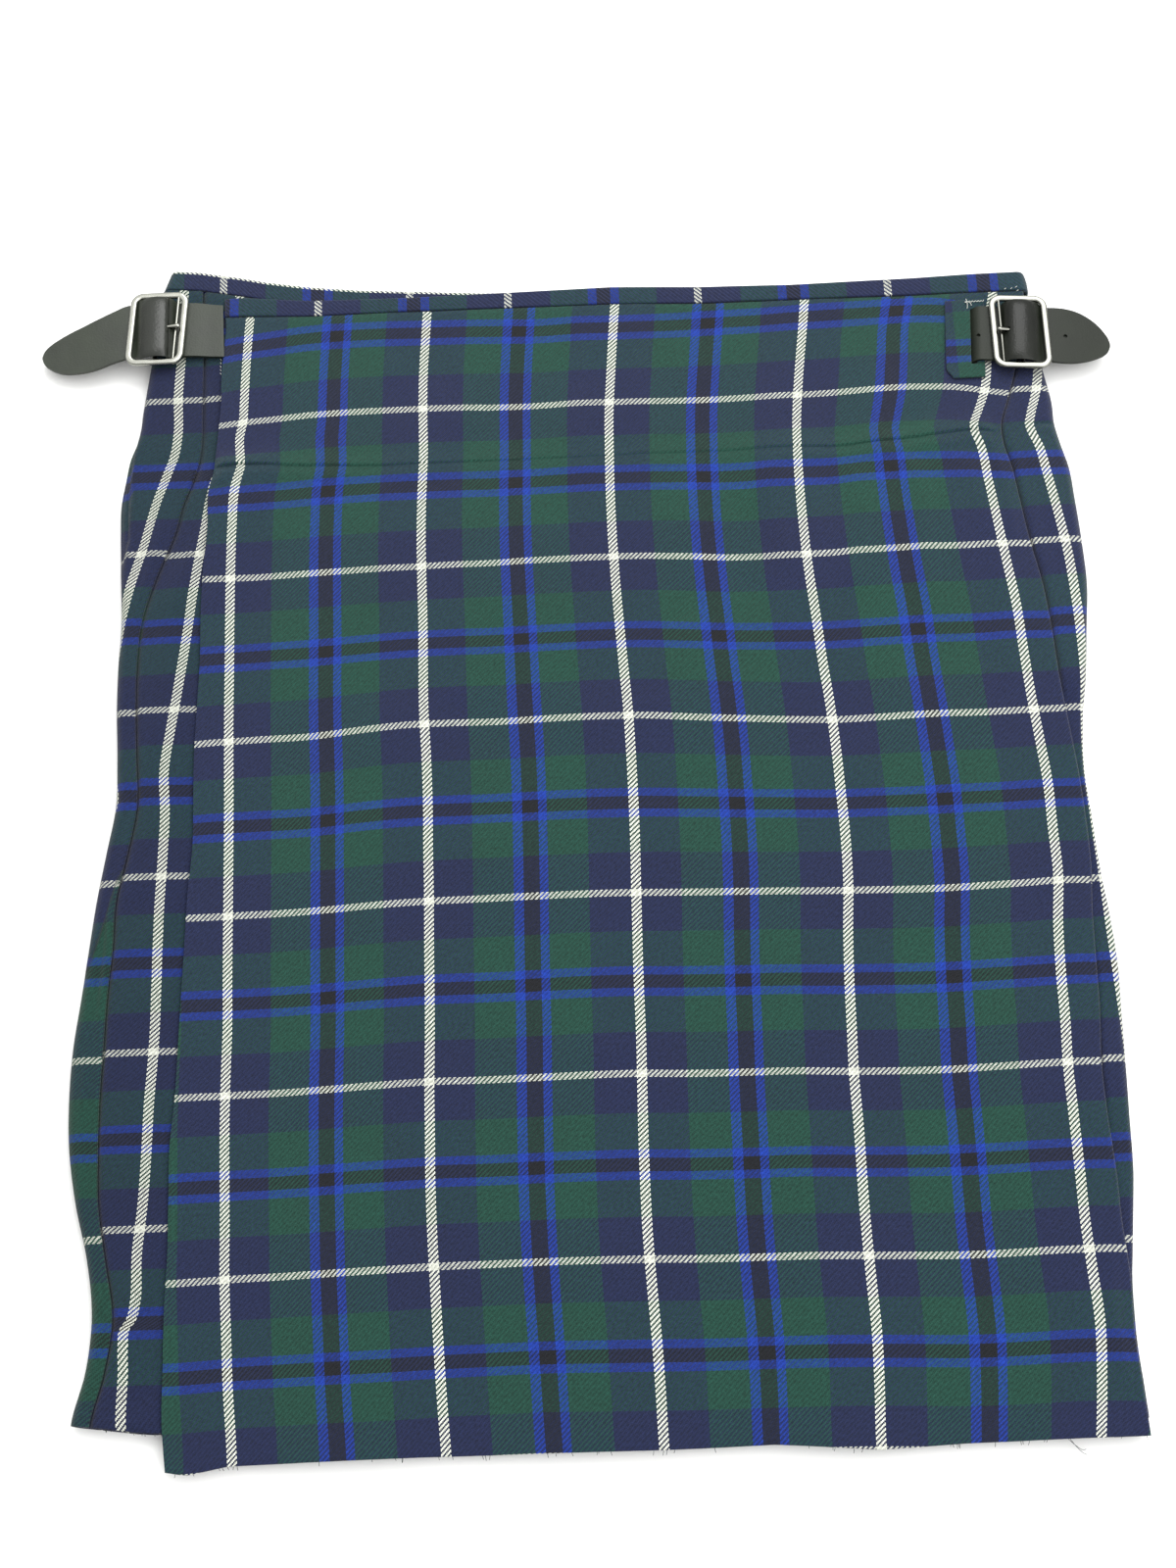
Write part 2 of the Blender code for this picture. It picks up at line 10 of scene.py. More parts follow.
import bmesh
import bpy
import numpy as np
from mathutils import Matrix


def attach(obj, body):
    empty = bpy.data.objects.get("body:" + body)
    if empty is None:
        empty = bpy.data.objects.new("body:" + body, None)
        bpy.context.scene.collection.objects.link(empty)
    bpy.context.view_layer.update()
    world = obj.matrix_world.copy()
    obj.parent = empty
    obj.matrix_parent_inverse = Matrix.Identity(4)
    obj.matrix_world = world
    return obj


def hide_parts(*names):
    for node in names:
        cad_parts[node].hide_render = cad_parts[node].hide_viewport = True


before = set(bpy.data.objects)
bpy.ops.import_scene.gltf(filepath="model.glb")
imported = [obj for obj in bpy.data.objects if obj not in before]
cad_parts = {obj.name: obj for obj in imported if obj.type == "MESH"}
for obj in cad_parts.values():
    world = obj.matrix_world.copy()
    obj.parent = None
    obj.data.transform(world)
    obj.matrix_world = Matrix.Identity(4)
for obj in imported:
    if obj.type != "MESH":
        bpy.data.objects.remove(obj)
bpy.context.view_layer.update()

# %% [markdown]
# ## The camera
# The photograph was taken by someone who stood at the hem and held the camera over the
# kilt, tilted by about 20 degrees. The check's white lines gave the tilt and the distance,
# so the camera comes first and everything after it can be compared with the photograph.

# %% Camera
deg = math.radians
bpy.ops.object.camera_add(location=(-0.00405, -0.41454, 1.14386),
                          rotation=(deg(20.49), deg(0.747), deg(-2.222)))
camera = bpy.context.object
camera.name = "camera"
camera.data.lens = 56.25
camera.data.sensor_width = 36
camera.data.clip_start = 0.02
bpy.context.scene.camera = camera
print("camera height:", round(camera.location.z, 3), "m")

# %% [markdown]
# ## Measures of the cloth
# All lengths are in millimetres until a piece is made, and seen from above. A pattern
# cutter would note where each edge is at each height, and so does this table. A soft curve
# is drawn through its rows, because cloth has no corners along an edge.

# %% Tables of the outline
MM = 0.001   # a millimetre in metres
MOVED = np.array([4.28, 3.88, 0.0])   # the kilt's middle, from the origin
WALL, GAP = 1.2, 0.38
LAYER = WALL + GAP
HIP_TOP, APRON_REST = 9.1, 5.98
TURN = HIP_TOP / 2
FOLD_TURN, FOLD_DEPTH = LAYER / 2, 15.0
FOLD_EDGE = FOLD_TURN + WALL / 2
DEPTHS = (WALL / 2, WALL / 2 + LAYER, WALL / 2 + 2 * LAYER)

OUTLINE_COLUMNS = ("y", "left", "pleat_fold", "free_edge", "folded_edge", "right")
OUTLINE = (
    (285, -224, -202, -190, 237, 239), (270, -227, -201, -189, 236, 239),
    (255, -229, -201, -190, 234, 240), (240, -231, -201, -191, 230, 241),
    (225, -233, -201, -191, 226, 243), (210, -235, -201, -192, 221, 245),
    (198, -239, -202, -193, 217, 245), (186, -241, -205, -194, 217, 247),
    (172, -243, -210, -197, 220, 250), (155, -243, -214, -197, 222, 251),
    (130, -242, -223, -199, 225, 252), (105, -241, -230, -200, 229, 252),
    (80, -242, -232, -200, 231, 249), (55, -242, -232, -201, 232, 246),
    (30, -241, -231, -202, 234, 242), (5, -241, -230, -202, 236, 240),
    (-20, -245, -234, -202, 237, 241), (-45, -249, -239, -204, 237, 242),
    (-70, -252, -240, -205, 235, 244), (-95, -255, -242, -206, 234, 245),
    (-120, -258, -243, -207, 233, 244), (-145, -259, -244, -208, 231, 243),
    (-170, -258, -244, -210, 231, 242), (-195, -254, -243, -210, 232, 241),
    (-220, -248, -239, -210, 232, 238), (-245, -245, -235, -211, 233, 235),
    (-270, -247, -238, -211, 232, 234), (-295, -253, -244, -211, 233, 235),
    (-318, -253, -244, -209, 234, 236),
)
# Heights of the waist seam and the hem at the left hip, the folded edge and the right hip
LEFT_SPAN, EDGE_SPAN, RIGHT_SPAN = (298.5, -295.0), (276.2, -316.7), (276.0, -309.0)
ENDS_COLUMNS = ("x", "seam", "band_top", "hem")
APRON_ENDS = (
    (-212, 278.6, 289.3, -314.8), (-200, 278.6, 289.3, -316.9), (-181, 278.4, 290.2, -313.6),
    (-144, 278.8, 288.6, -313.4), (-92, 279.3, 288.0, -313.2), (16, 278.8, 289.6, -314.4),
    (65, 277.0, 287.4, -314.0), (112, 277.2, 286.6, -318.2), (150, 277.0, 287.2, -316.8),
    (238, 276.2, 288.2, -316.7),
)
UNDER_ENDS = (
    (-262, 299.5, 311.0, -291.5), (-224, 298.5, 310.5, -297.0), (-204, 297.0, 308.5, -298.8),
    (-169, 290.0, 301.4, -300.0), (-120, 284.0, 295.5, -301.0), (-51, 279.0, 290.4, -303.0),
    (100, 276.5, 288.0, -306.0), (262, 275.5, 286.8, -309.0),
)


def read(columns, rows, name, at):
    """A named column, read along straight lines between the rows."""
    keys = np.array([row[0] for row in rows], float)
    values = np.array([row[columns.index(name)] for row in rows], float)
    order = np.argsort(keys)
    return np.interp(at, keys[order], values[order])


def smooth(keys, values, at):
    """A soft curve through points: each span is a cubic that meets its neighbours."""
    keys, values = np.asarray(keys, float), np.asarray(values, float)
    order = np.argsort(keys)
    keys, values = keys[order], values[order]
    slope = np.gradient(values, keys)
    at = np.clip(at, keys[0], keys[-1])
    i = np.clip(np.searchsorted(keys, at) - 1, 0, len(keys) - 2)
    wide = keys[i + 1] - keys[i]
    t = (at - keys[i]) / wide
    return ((2 * t**3 - 3 * t**2 + 1) * values[i] + (t**3 - 2 * t**2 + t) * wide * slope[i]
            + (3 * t**2 - 2 * t**3) * values[i + 1] + (t**3 - t**2) * wide * slope[i + 1])


def edge_at(name, y):
    column = OUTLINE_COLUMNS.index(name)
    return smooth([row[0] for row in OUTLINE], [row[column] for row in OUTLINE], y)


def ease(t):
    t = np.clip(t, 0.0, 1.0)
    return t * t * (3 - 2 * t)


def blend(a, b, t):
    return a + (b - a) * t


print("width at the hem:", round(float(edge_at("right", -300) - edge_at("left", -290))), "mm")

# %% [markdown]
# ## Soft folds
# Cloth on a table is never flat. It keeps long shallow ripples, and the line of stitches
# that holds the pleats down pulls small puckers into it. Each is a soft bump with its own
# middle, spread and height, so the front keeps the folds that the photograph shows, and a
# little smooth noise adds the unevenness that no table can list.

# %% Ripples, creases and unevenness
RIPPLES = (
    # x, y, spread_x, spread_y, height, lean
    (-120.0, -330.0, 30.0, 150.0, 2.0, 0.05), (-20.0, -330.0, 38.0, 190.0, 2.4, -0.04),
    (92.0, -325.0, 30.0, 210.0, 3.0, 0.02), (104.0, 165.0, 20.0, 70.0, 2.2, -0.16),
    (150.0, 175.0, 16.0, 60.0, 1.6, 0.12), (30.0, 150.0, 26.0, 90.0, 1.3, 0.06),
    (-70.0, 120.0, 30.0, 80.0, 1.2, -0.05), (185.0, -60.0, 22.0, 120.0, 1.8, 0.03),
)


def ripples(x, y, rows=RIPPLES):
    total = 0.0
    for rx, ry, sx, sy, height, lean in rows:
        dx = x - rx - lean * (y - ry)
        total = total + height * np.exp(-((dx / sx) ** 2) - ((y - ry) / sy) ** 2)
    return total


def off_line(x, y, line):
    """Distance from each point to a drawn line, with its sign, and how far along it is."""
    best = np.full(np.broadcast(x, y).shape, 1e9)
    side, share = np.zeros_like(best), np.zeros_like(best)
    line = np.array(line, float)
    reach = np.concatenate([[0], np.cumsum(np.linalg.norm(np.diff(line, axis=0), axis=1))])
    for k, ((ax, ay), (bx, by)) in enumerate(zip(line[:-1], line[1:])):
        long = math.hypot(bx - ax, by - ay)
        ux, uy = (bx - ax) / long, (by - ay) / long
        t = np.clip((x - ax) * ux + (y - ay) * uy, 0, long)
        dx, dy = x - ax - ux * t, y - ay - uy * t
        d = np.hypot(dx, dy)
        nearer = d < best
        best = np.where(nearer, d, best)
        side = np.where(nearer, np.sign(dx * uy - dy * ux), side)
        share = np.where(nearer, (reach[k] + t) / reach[-1], share)
    return best, side, share


def crease(x, y, line, height, spread):
    """A ridge along a line that fades at both its ends."""
    d, _, share = off_line(x, y, line)
    fade = ease(share / 0.2) * ease((1 - share) / 0.2)
    return height * fade * np.exp(-((d / spread) ** 2))


def uneven(x, y, size, seed):
    """Smooth noise from -1 to 1, the same on each run."""
    rng = np.random.default_rng(seed)
    table = rng.uniform(-1, 1, (64, 64))
    gx, gy = np.asarray(x) / size + 20.3, np.asarray(y) / size + 20.7
    ix, iy = np.floor(gx).astype(int), np.floor(gy).astype(int)
    tx, ty = ease(gx - ix), ease(gy - iy)
    ix, iy = ix % 63, iy % 63
    a = blend(table[iy, ix], table[iy, ix + 1], tx)
    b = blend(table[iy + 1, ix], table[iy + 1, ix + 1], tx)
    return blend(a, b, ty)


def under_top(x, y):
    """Top of the under apron: it sinks from the hip onto the pleats behind."""
    low = np.interp(y, (-320, 100, 190, 300), (-185, -175, -145, -139))
    return APRON_REST + (HIP_TOP - APRON_REST) * ease((low - x) / 44)


def apron_top(x, y):
    """Top of the over apron, with its ripples, before its small creases."""
    edge, free = edge_at("folded_edge", y), edge_at("free_edge", y)
    low = under_top(x, y) + LAYER + 0.2
    rest = np.where(x > 0, blend(low, HIP_TOP, ease((x - edge + 70) / 48)), low)
    calm = ease((x - free) / 45) * ease((edge - 22 - x) / 40)
    return rest + ripples(x, y) * calm


print("tallest ripple:", max(row[4] for row in RIPPLES), "mm")

# %% [markdown]
# ## Where the check lies on the cloth
# The check repeats every 100 mm across and 90 mm down. On the real kilt its white lines
# drift by a few millimetres where the cloth is eased or pleated, and the eye sees that at
# once. So each line has a short list of places, and the pattern is stretched between them.

# %% Lines of the check
CHECK_WIDE, CHECK_HIGH = 100.0, 90.0
# White lines that run down the over apron, each a list of (y, x)
APRON_DOWN = (
    ((-316, -175), (-299, -176), (-275, -177.8), (-251, -178.9), (-227, -179.9),
     (-203, -180.1), (-179, -180.5), (-155, -180.8), (-131, -180.6), (-107, -180.1),
     (-83, -180.4), (-59, -180.5), (-35, -180.6), (-11, -180.7), (13, -180.9), (37, -181.3),
     (61, -181.5), (85, -181.5), (109, -181.6), (133, -181.5), (157, -180.9),
     (183.7, -179.1), (193.9, -176.6), (196.7, -176.7), (210.6, -177.3), (220.4, -175.6),
     (229, -175.3), (253, -174.3), (277, -172.9), (290, -171.8)),
    ((-312, -78.9), (-307, -79.2), (-283, -80.7), (-259, -81.8), (-235, -82.8),
     (-211, -83.7), (-187, -84.2), (-163, -84.1), (-139, -84), (-115, -83.4), (-91, -83.1),
     (-67, -83), (-43, -82.7), (-19, -82.7), (5, -82.5), (29, -82.9), (53, -83.7),
     (77, -83.6), (101, -83.3), (125, -83.5), (149, -83.5), (173, -82.8), (197, -81.6),
     (221, -81.5), (245, -81), (269, -79.4), (290, -77.9)),
    ((-314, 19.1), (-309, 18.9), (-285, 18.5), (-261, 17.9), (-237, 16.8), (-213, 16),
     (-189, 15.9), (-165, 16.2), (-141, 16.8), (-117, 17.3), (-93, 17.4), (-69, 17.8),
     (-45, 18.3), (-21, 18.9), (3, 19.1), (27, 19), (51, 18.5), (75, 17.3), (99, 16.2),
     (123, 15.3), (147, 14.8), (171, 14.8), (195, 15.3), (219, 16.2), (243, 18.2),
     (267, 20.3), (290, 22.6)),
    ((-316, 116.2), (-311, 116.2), (-287, 117.4), (-263, 118.1), (-239, 117.5), (-215, 117),
     (-191, 117), (-167, 117.3), (-143, 117), (-119, 117.7), (-95, 118.4), (-71, 119.7),
     (-47, 121.6), (-23, 122.1), (1, 121.6), (25, 120.9), (49, 119.6), (73, 117.5),
     (97, 116), (121, 114.1), (145, 113.1), (169, 112.7), (193, 113.1), (217, 114.7),
     (241, 117.7), (265, 121.1), (290, 124.2)),
    ((-316, 214.3), (-311, 215.1), (-287, 218.1), (-263, 220), (-239, 219.3), (-215, 218.4),
     (-191, 218.5), (-167, 218.4), (-143, 218.3), (-119, 219.4), (-95, 219.9), (-71, 221.2),
     (-47, 223.7), (-23, 223.6), (1, 223.7), (25, 222), (49, 220.2), (73, 218.9),
     (97, 217.8), (121, 215.3), (145, 212.8), (169, 210.4), (189.4, 208.3), (196.5, 206.2),
     (200.5, 205.9), (209, 209), (221.1, 213.5), (241, 216.7), (262, 218.6),
     (275, 222.4), (290, 225.5)),
)
# White lines that run across it, each a list of (x, y)
APRON_ACROSS = (
    ((-206, 215.6), (-165, 220.9), (-141, 224), (-117, 224.7), (-93, 224.8), (-69, 224.6),
     (-45, 224.1), (-21, 223.9), (3, 224.5), (27, 223.8), (51, 223.5), (75, 223.4),
     (99, 223.5), (123, 224.3), (147, 225.2), (171, 225.8), (195, 225), (219, 220.8),
     (240, 216.8)),
    ((-206, 129.6), (-189, 130.3), (-165, 131.2), (-141, 132.2), (-117, 132.9), (-93, 133.1),
     (-69, 133.2), (-45, 133.3), (-21, 134.3), (3, 134.6), (27, 134.1), (51, 132.9),
     (75, 131.5), (99, 131), (123, 131.2), (147, 132.5), (171, 133.4), (195, 132.7),
     (219, 132.5), (240, 131.5)),
    ((-206, 38.6), (-189, 40.6), (-165, 41.7), (-141, 42.2), (-117, 44.4), (-93, 46.2),
     (-69, 46.3), (-45, 46), (-21, 46.7), (3, 46.8), (27, 46.2), (51, 44.4), (75, 42.6),
     (99, 41), (123, 39.8), (147, 40.3), (171, 40.7), (195, 40), (219, 40.5), (240, 40.6)),
    ((-206, -51.3), (-201, -51), (-177, -50.1), (-153, -49.8), (-129, -48.8), (-105, -47.4),
     (-81, -46.6), (-57, -46.5), (-33, -46.3), (-9, -46.2), (15, -46.4), (39, -47.2),
     (63, -48), (87, -48.8), (111, -49.7), (135, -50.1), (159, -50.8), (183, -50.9),
     (207, -50), (231, -49.4), (240, -49.9)),
    ((-206, -140.2), (-201, -139.9), (-177, -139.3), (-153, -139), (-129, -138.1),
     (-105, -137.1), (-81, -136.5), (-57, -136.8), (-33, -136.7), (-9, -136.5), (15, -136.5),
     (39, -137.5), (63, -138.1), (87, -138.6), (111, -139.8), (135, -140.4), (159, -140.8),
     (183, -140.6), (207, -140), (231, -139.8), (240, -140.1)),
    ((-206, -227), (-201, -226.8), (-177, -225.8), (-153, -225.4), (-129, -224.9),
     (-105, -224.4), (-81, -223.8), (-57, -223.8), (-33, -223.8), (-9, -224.1), (15, -224.4),
     (39, -225.1), (63, -225.5), (87, -226), (111, -226.8), (135, -227.5), (159, -228.3),
     (183, -228.3), (207, -227.9), (231, -228.2), (240, -228.7)),
)
# The line on each hip pleat, (y, x), and the rows that cross the hips
UNDER_DOWN = ((-310, -223.5), (-286.2, -226), (-268, -225.4), (-254, -225.8),
              (-247.3, -225.4), (-243, -222.4), (-236, -220.8), (-213, -220.5),
              (-189, -218.4), (-165, -217.3), (-141, -216.6), (-117, -215.1), (-93, -214.5),
              (-69, -214.4), (-45, -213.9), (-21, -213), (3, -212.3), (27, -213.1),
              (51, -209.9), (75, -206.5), (99, -203.4), (123, -200.6), (147, -197),
              (158.9, -195), (177.5, -192.2), (190, -189), (197, -184.5), (205, -182),
              (250, -180), (310, -178))
LEFT_DOWN = ((320, -208), (257.8, -209.1), (235.4, -210.2), (215, -209.8), (202.9, -211.1),
             (190.5, -214.9), (174.2, -220.1), (149.6, -226.2), (128, -232.4), (108.7, -236.5),
             (92, -239.5), (80, -242.5), (60, -245), (30, -244), (16, -238.2), (9, -238.0),
             (0, -242), (-20, -247), (-310, -258.0))
RIGHT_DOWN = ((300, 241.0), (217.6, 239.8), (205, 236.0), (200.3, 234.9), (196, 235.6),
              (188.1, 238.3), (173.1, 240.8), (150.3, 244), (133.4, 246.2), (90, 248.6),
              (56.9, 248.2), (25.3, 245.7), (-60, 246.6), (-100, 247.4), (-160, 249.0),
              (-312, 243.0))
HIP_ACROSS = (325.0, 235.8, 145.3, 59.4, -28.6, -116.6, -202.0, -296.0)
RIGHT_ACROSS = (312.0, 221.6, 133.6, 42.2, -48.0, -138.5, -223.6, -316.0)


def line_numbers(lines, along, across):
    """How far a point is, counted in lines of the check, from 0 at the first line."""
    places = np.array([smooth([p[0] for p in line], [p[1] for p in line], along)
                       for line in lines])
    count = np.zeros(np.shape(across))
    for k in range(len(lines) - 1):
        low, high = places[k], places[k + 1]
        last = k == len(lines) - 2
        t = (across - low) / (high - low)
        t = np.maximum(t, 0) if k else t
        count = count + (t if last else np.minimum(t, 1))
    return count


def apron_check(x, y):
    """Cloth coordinates of the over apron in mm: across from its first line, and down."""
    down = line_numbers(APRON_DOWN, y, x)
    across = line_numbers(APRON_ACROSS, x, y)
    return down * CHECK_WIDE, across * CHECK_HIGH


def rows_down(rows, y):
    """Cloth coordinate down a hip or the back; the second row is the first white one."""
    return smooth([-row for row in rows], np.arange(len(rows)) - 1.0,
                  -np.asarray(y)) * CHECK_HIGH


def hip_rows(y):
    return rows_down(HIP_ACROSS, y)


def down_line(table, y):
    return smooth([p[0] for p in table], [p[1] for p in table], y)


u, v = apron_check(np.array([16.8, 118.1]), np.array([225.5, -227.4]))
print("third line of the first row is at", np.round(u / 100, 2)[0], np.round(v / 90, 2)[0])

# %% [markdown]
# ## The wool
# Kilt wool is a 2/2 twill: each thread goes over two and under two, one step further on
# each row, and that draws the fine diagonal. The colours are not printed. Each thread has
# one colour, so where a green warp meets a navy weft the eye mixes them. The group below
# does what the loom does: it picks the thread on top from the thread numbers, and gives
# the colour of that thread and the height of its round back.

# %% Thread colours
def linear(r, g, b):
    """A screen colour, 0 to 255, as the light that it stands for."""
    return tuple((c / 255 / 12.92) if c < 10.3 else ((c / 255 + 0.055) / 1.055) ** 2.4
                 for c in (r, g, b))


DYE = 0.62   # the photograph is overexposed, so the dyes are deeper than they look in it
WHITE, NAVY, GREEN, BLUE, BLACK = (
    tuple(DYE * part for part in linear(*screen)) for screen in
    ((242, 245, 232), (34, 43, 80), (32, 78, 66), (28, 66, 176), (27, 30, 37)))
# Threads of one repeat, from the middle of the white line
SETT = ((4, WHITE), (33, NAVY), (33, GREEN), (8, BLUE), (12, BLACK), (8, BLUE),
        (33, GREEN), (34, NAVY), (3, WHITE))
THREADS = sum(n for n, colour in SETT)
THREADS_DOWN = THREADS - 16
print("threads in a repeat:", THREADS, "or", round(THREADS / CHECK_WIDE * 10, 1), "a cm")


# %% Helpers for shader graphs
def add_node(tree, kind, **settings):
    """A node with its settings and input values; a socket as value makes a link."""
    node = tree.nodes.new("ShaderNode" + kind)
    inputs = settings.pop("inputs", {})
    for name, value in settings.items():
        setattr(node, name, value)
    for name, value in inputs.items():
        socket = node.inputs[name]
        if isinstance(value, bpy.types.NodeSocket):
            tree.links.new(value, socket)
        else:
            socket.default_value = value
    return node


def maths(tree, operation, *values):
    return add_node(tree, "Math", operation=operation,
                    inputs=dict(enumerate(values))).outputs[0]


def new_group(name, takes, gives):
    """A shader node group with named inputs and outputs."""
    group = bpy.data.node_groups.new(name, "ShaderNodeTree")
    for label, kind, value in takes:
        socket = group.interface.new_socket(label, in_out="INPUT", socket_type=kind)
        if value is not None:
            socket.default_value = value
    for label, kind in gives:
        group.interface.new_socket(label, in_out="OUTPUT", socket_type=kind)
    return (group, group.nodes.new("NodeGroupInput").outputs,
            group.nodes.new("NodeGroupOutput").inputs)


def place_group(tree, group, **inputs):
    node = tree.nodes.new("ShaderNodeGroup")
    node.node_tree = group
    for name, value in inputs.items():
        socket = node.inputs[name.replace("_", " ")]
        if isinstance(value, bpy.types.NodeSocket):
            tree.links.new(value, socket)
        else:
            socket.default_value = value
    return node.outputs


# %% The stripe that one set of threads draws
stripe, taken, given = new_group(
    "thread stripe", [("Thread", "NodeSocketFloat", 0.0), ("Repeat", "NodeSocketFloat", 168.0)],
    [("Colour", "NodeSocketColor")])
middle = maths(stripe, "ADD", maths(stripe, "FLOOR", taken["Thread"]), 0.5)
share = maths(stripe, "FRACT", maths(stripe, "DIVIDE", middle, taken["Repeat"]))
ramp = add_node(stripe, "ValToRGB", inputs={"Fac": share})
ramp.color_ramp.interpolation = "CONSTANT"
place = 0
for k, (count, colour) in enumerate(SETT):
    stop = ramp.color_ramp.elements[k] if k < 2 else ramp.color_ramp.elements.new(0.999)
    stop.position, stop.color = place / THREADS, (*colour, 1)
    place += count
stripe.links.new(ramp.outputs["Color"], given["Colour"])
print("stops in the ramp:", len(ramp.color_ramp.elements))

# %% The twill: which thread is on top, and how high it stands
twill, taken, given = new_group(
    "twill check",
    [("Across", "NodeSocketFloat", 0.0), ("Down", "NodeSocketFloat", 0.0),
     ("Melange", "NodeSocketFloat", 0.2), ("Wear", "NodeSocketFloat", 0.1)],
    [("Colour", "NodeSocketColor"), ("Height", "NodeSocketFloat"),
     ("Fuzz", "NodeSocketFloat")])


def thread_back(tree, at):
    """Round back of a thread, from 0 at its sides to 1 in its middle."""
    inside = maths(tree, "FRACT", at)
    return maths(tree, "SINE", maths(tree, "MULTIPLY", inside, math.pi))


def float_over(tree, fixed, running, sign):
    """1 where a thread floats on top, 0 where it dives under the others."""
    phase = maths(tree, "ADD", maths(tree, "FLOOR", fixed), running)
    turn = maths(tree, "MULTIPLY", maths(tree, "SUBTRACT", phase, 1.0), math.pi / 2)
    wave = maths(tree, "COSINE", turn)
    return maths(tree, "MULTIPLY_ADD", wave, 0.5 * sign, 0.5)


across, down = taken["Across"], taken["Down"]
warp = maths(twill, "MULTIPLY", thread_back(twill, across),
             float_over(twill, across, down, 1))
weft = maths(twill, "MULTIPLY", thread_back(twill, down),
             float_over(twill, down, across, -1))
on_top = maths(twill, "GREATER_THAN", warp, weft)
warp_colour = place_group(twill, stripe, Thread=across, Repeat=float(THREADS))["Colour"]
weft_colour = place_group(twill, stripe, Thread=down, Repeat=float(THREADS_DOWN))["Colour"]
pick = add_node(twill, "Mix", data_type="RGBA", inputs={0: on_top})
twill.links.new(weft_colour, pick.inputs[6])
twill.links.new(warp_colour, pick.inputs[7])
# Dark threads are fuzzy and shine through each other; the white ones stand out clean
both = add_node(twill, "Mix", data_type="RGBA", inputs={0: 0.5})
twill.links.new(weft_colour, both.inputs[6])
twill.links.new(warp_colour, both.inputs[7])
pale = maths(twill, "GREATER_THAN", add_node(
    twill, "SeparateColor", inputs={0: both.outputs[2]}).outputs["Red"], 0.15)
through = add_node(twill, "Mix", data_type="RGBA",
                   inputs={0: maths(twill, "MULTIPLY_ADD", pale, -0.5, 0.5)})
twill.links.new(pick.outputs[2], through.inputs[6])
twill.links.new(both.outputs[2], through.inputs[7])

# The two sets of threads lean differently to the light, which draws the fine diagonal
lean = maths(twill, "MULTIPLY_ADD", on_top, 0.34, -0.17)

# Yarn is spun from dyed fibres of slightly different shades
where = add_node(twill, "CombineXYZ", inputs={"X": across, "Y": down}).outputs[0]
fibres = add_node(twill, "TexNoise", inputs={"Vector": where, "Scale": 0.9, "Detail": 3.0})
knots = add_node(twill, "TexNoise", inputs={"Vector": where, "Scale": 0.36, "Detail": 2.0})
patches = add_node(twill, "TexNoise", inputs={"Vector": where, "Scale": 0.02, "Detail": 4.0})
spread = maths(twill, "MULTIPLY", maths(twill, "SUBTRACT", fibres.outputs["Fac"], 0.5),
               maths(twill, "MULTIPLY", taken["Melange"], 2.4))
worn = maths(twill, "MULTIPLY", maths(twill, "SUBTRACT", patches.outputs["Fac"], 0.5),
             maths(twill, "MULTIPLY", taken["Wear"], 2.0))
height = maths(twill, "MAXIMUM", warp, weft)
# Painted shade: each thread is lighter on its round back and darker at its sides; fibres, knots
# and patches add real variation of the yarn
shade_and_melange = maths(twill, "ADD", maths(twill, "MULTIPLY_ADD", height, 0.34, 0.80),
              maths(twill, "ADD", spread, worn))
shade_and_melange = maths(twill, "ADD", maths(twill, "ADD", shade_and_melange, lean),
              maths(twill, "MULTIPLY_ADD", knots.outputs["Fac"], 1.1, -0.55))
shade_and_melange = maths(twill, "MAXIMUM", shade_and_melange, 0.3)
tinted = add_node(twill, "VectorMath", operation="SCALE", inputs={"Scale": shade_and_melange})
twill.links.new(through.outputs[2], tinted.inputs[0])
twill.links.new(tinted.outputs[0], given["Colour"])
twill.links.new(maths(twill, "MULTIPLY_ADD", fibres.outputs["Fac"], 0.35, height),
                given["Height"])
twill.links.new(patches.outputs["Fac"], given["Fuzz"])
print("nodes in the twill:", len(twill.nodes))


# %% The wool material, on the cloth's own coordinates
def new_material(name):
    material = bpy.data.materials.new(name)
    material.use_nodes = True
    tree = material.node_tree
    return material, tree, tree.nodes["Principled BSDF"]


def link_normal(tree, shader, height, distance, strength=1.0):
    bump = add_node(tree, "Bump", inputs={"Height": height, "Distance": distance,
                                          "Strength": strength})
    tree.links.new(bump.outputs["Normal"], shader.inputs["Normal"])


def make_wool(name, depth, sheen):
    """Checked wool; depth scales its colour, and below 1 that is a painted shade."""
    material, tree, shader = new_material(name)
    cloth_place = add_node(tree, "UVMap", uv_map="cloth").outputs["UV"]
    apart = add_node(tree, "SeparateXYZ", inputs={0: cloth_place})
    # The map counts in repeats of the check, so it is multiplied up to threads
    across = maths(tree, "MULTIPLY", apart.outputs["X"], float(THREADS))
    down = maths(tree, "MULTIPLY", apart.outputs["Y"], float(THREADS_DOWN))
    woven = place_group(tree, twill, Across=across, Down=down, Melange=0.32, Wear=0.12)
    # The colour is scaled by depth, a painted shade where depth is below 1
    shade_scaled_colour = add_node(tree, "VectorMath", operation="SCALE",
                     inputs={0: woven["Colour"], "Scale": depth})
    tree.links.new(shade_scaled_colour.outputs[0], shader.inputs["Base Color"])
    rough = add_node(tree, "MapRange", inputs={"Value": woven["Fuzz"], "To Min": 0.78,
                                               "To Max": 0.95})
    tree.links.new(rough.outputs[0], shader.inputs["Roughness"])
    shader.inputs["Sheen Weight"].default_value = sheen
    shader.inputs["Sheen Roughness"].default_value = 0.5
    shader.inputs["Sheen Tint"].default_value = (1.0, 0.98, 0.92, 1)
    shader.inputs["Specular IOR Level"].default_value = 0.18
    link_normal(tree, shader, woven["Height"], 0.00022)
    return material


# The left hip pleat and the under apron get the wool with its colour scaled to 0.88, a painted
# shade for the darker left side, and a little less sheen
wool = make_wool("checked_kilt_wool", 1.0, 0.16)
painted_shade_wool = make_wool("painted_shade_kilt_wool", 0.88, 0.12)
print("wool is ready")


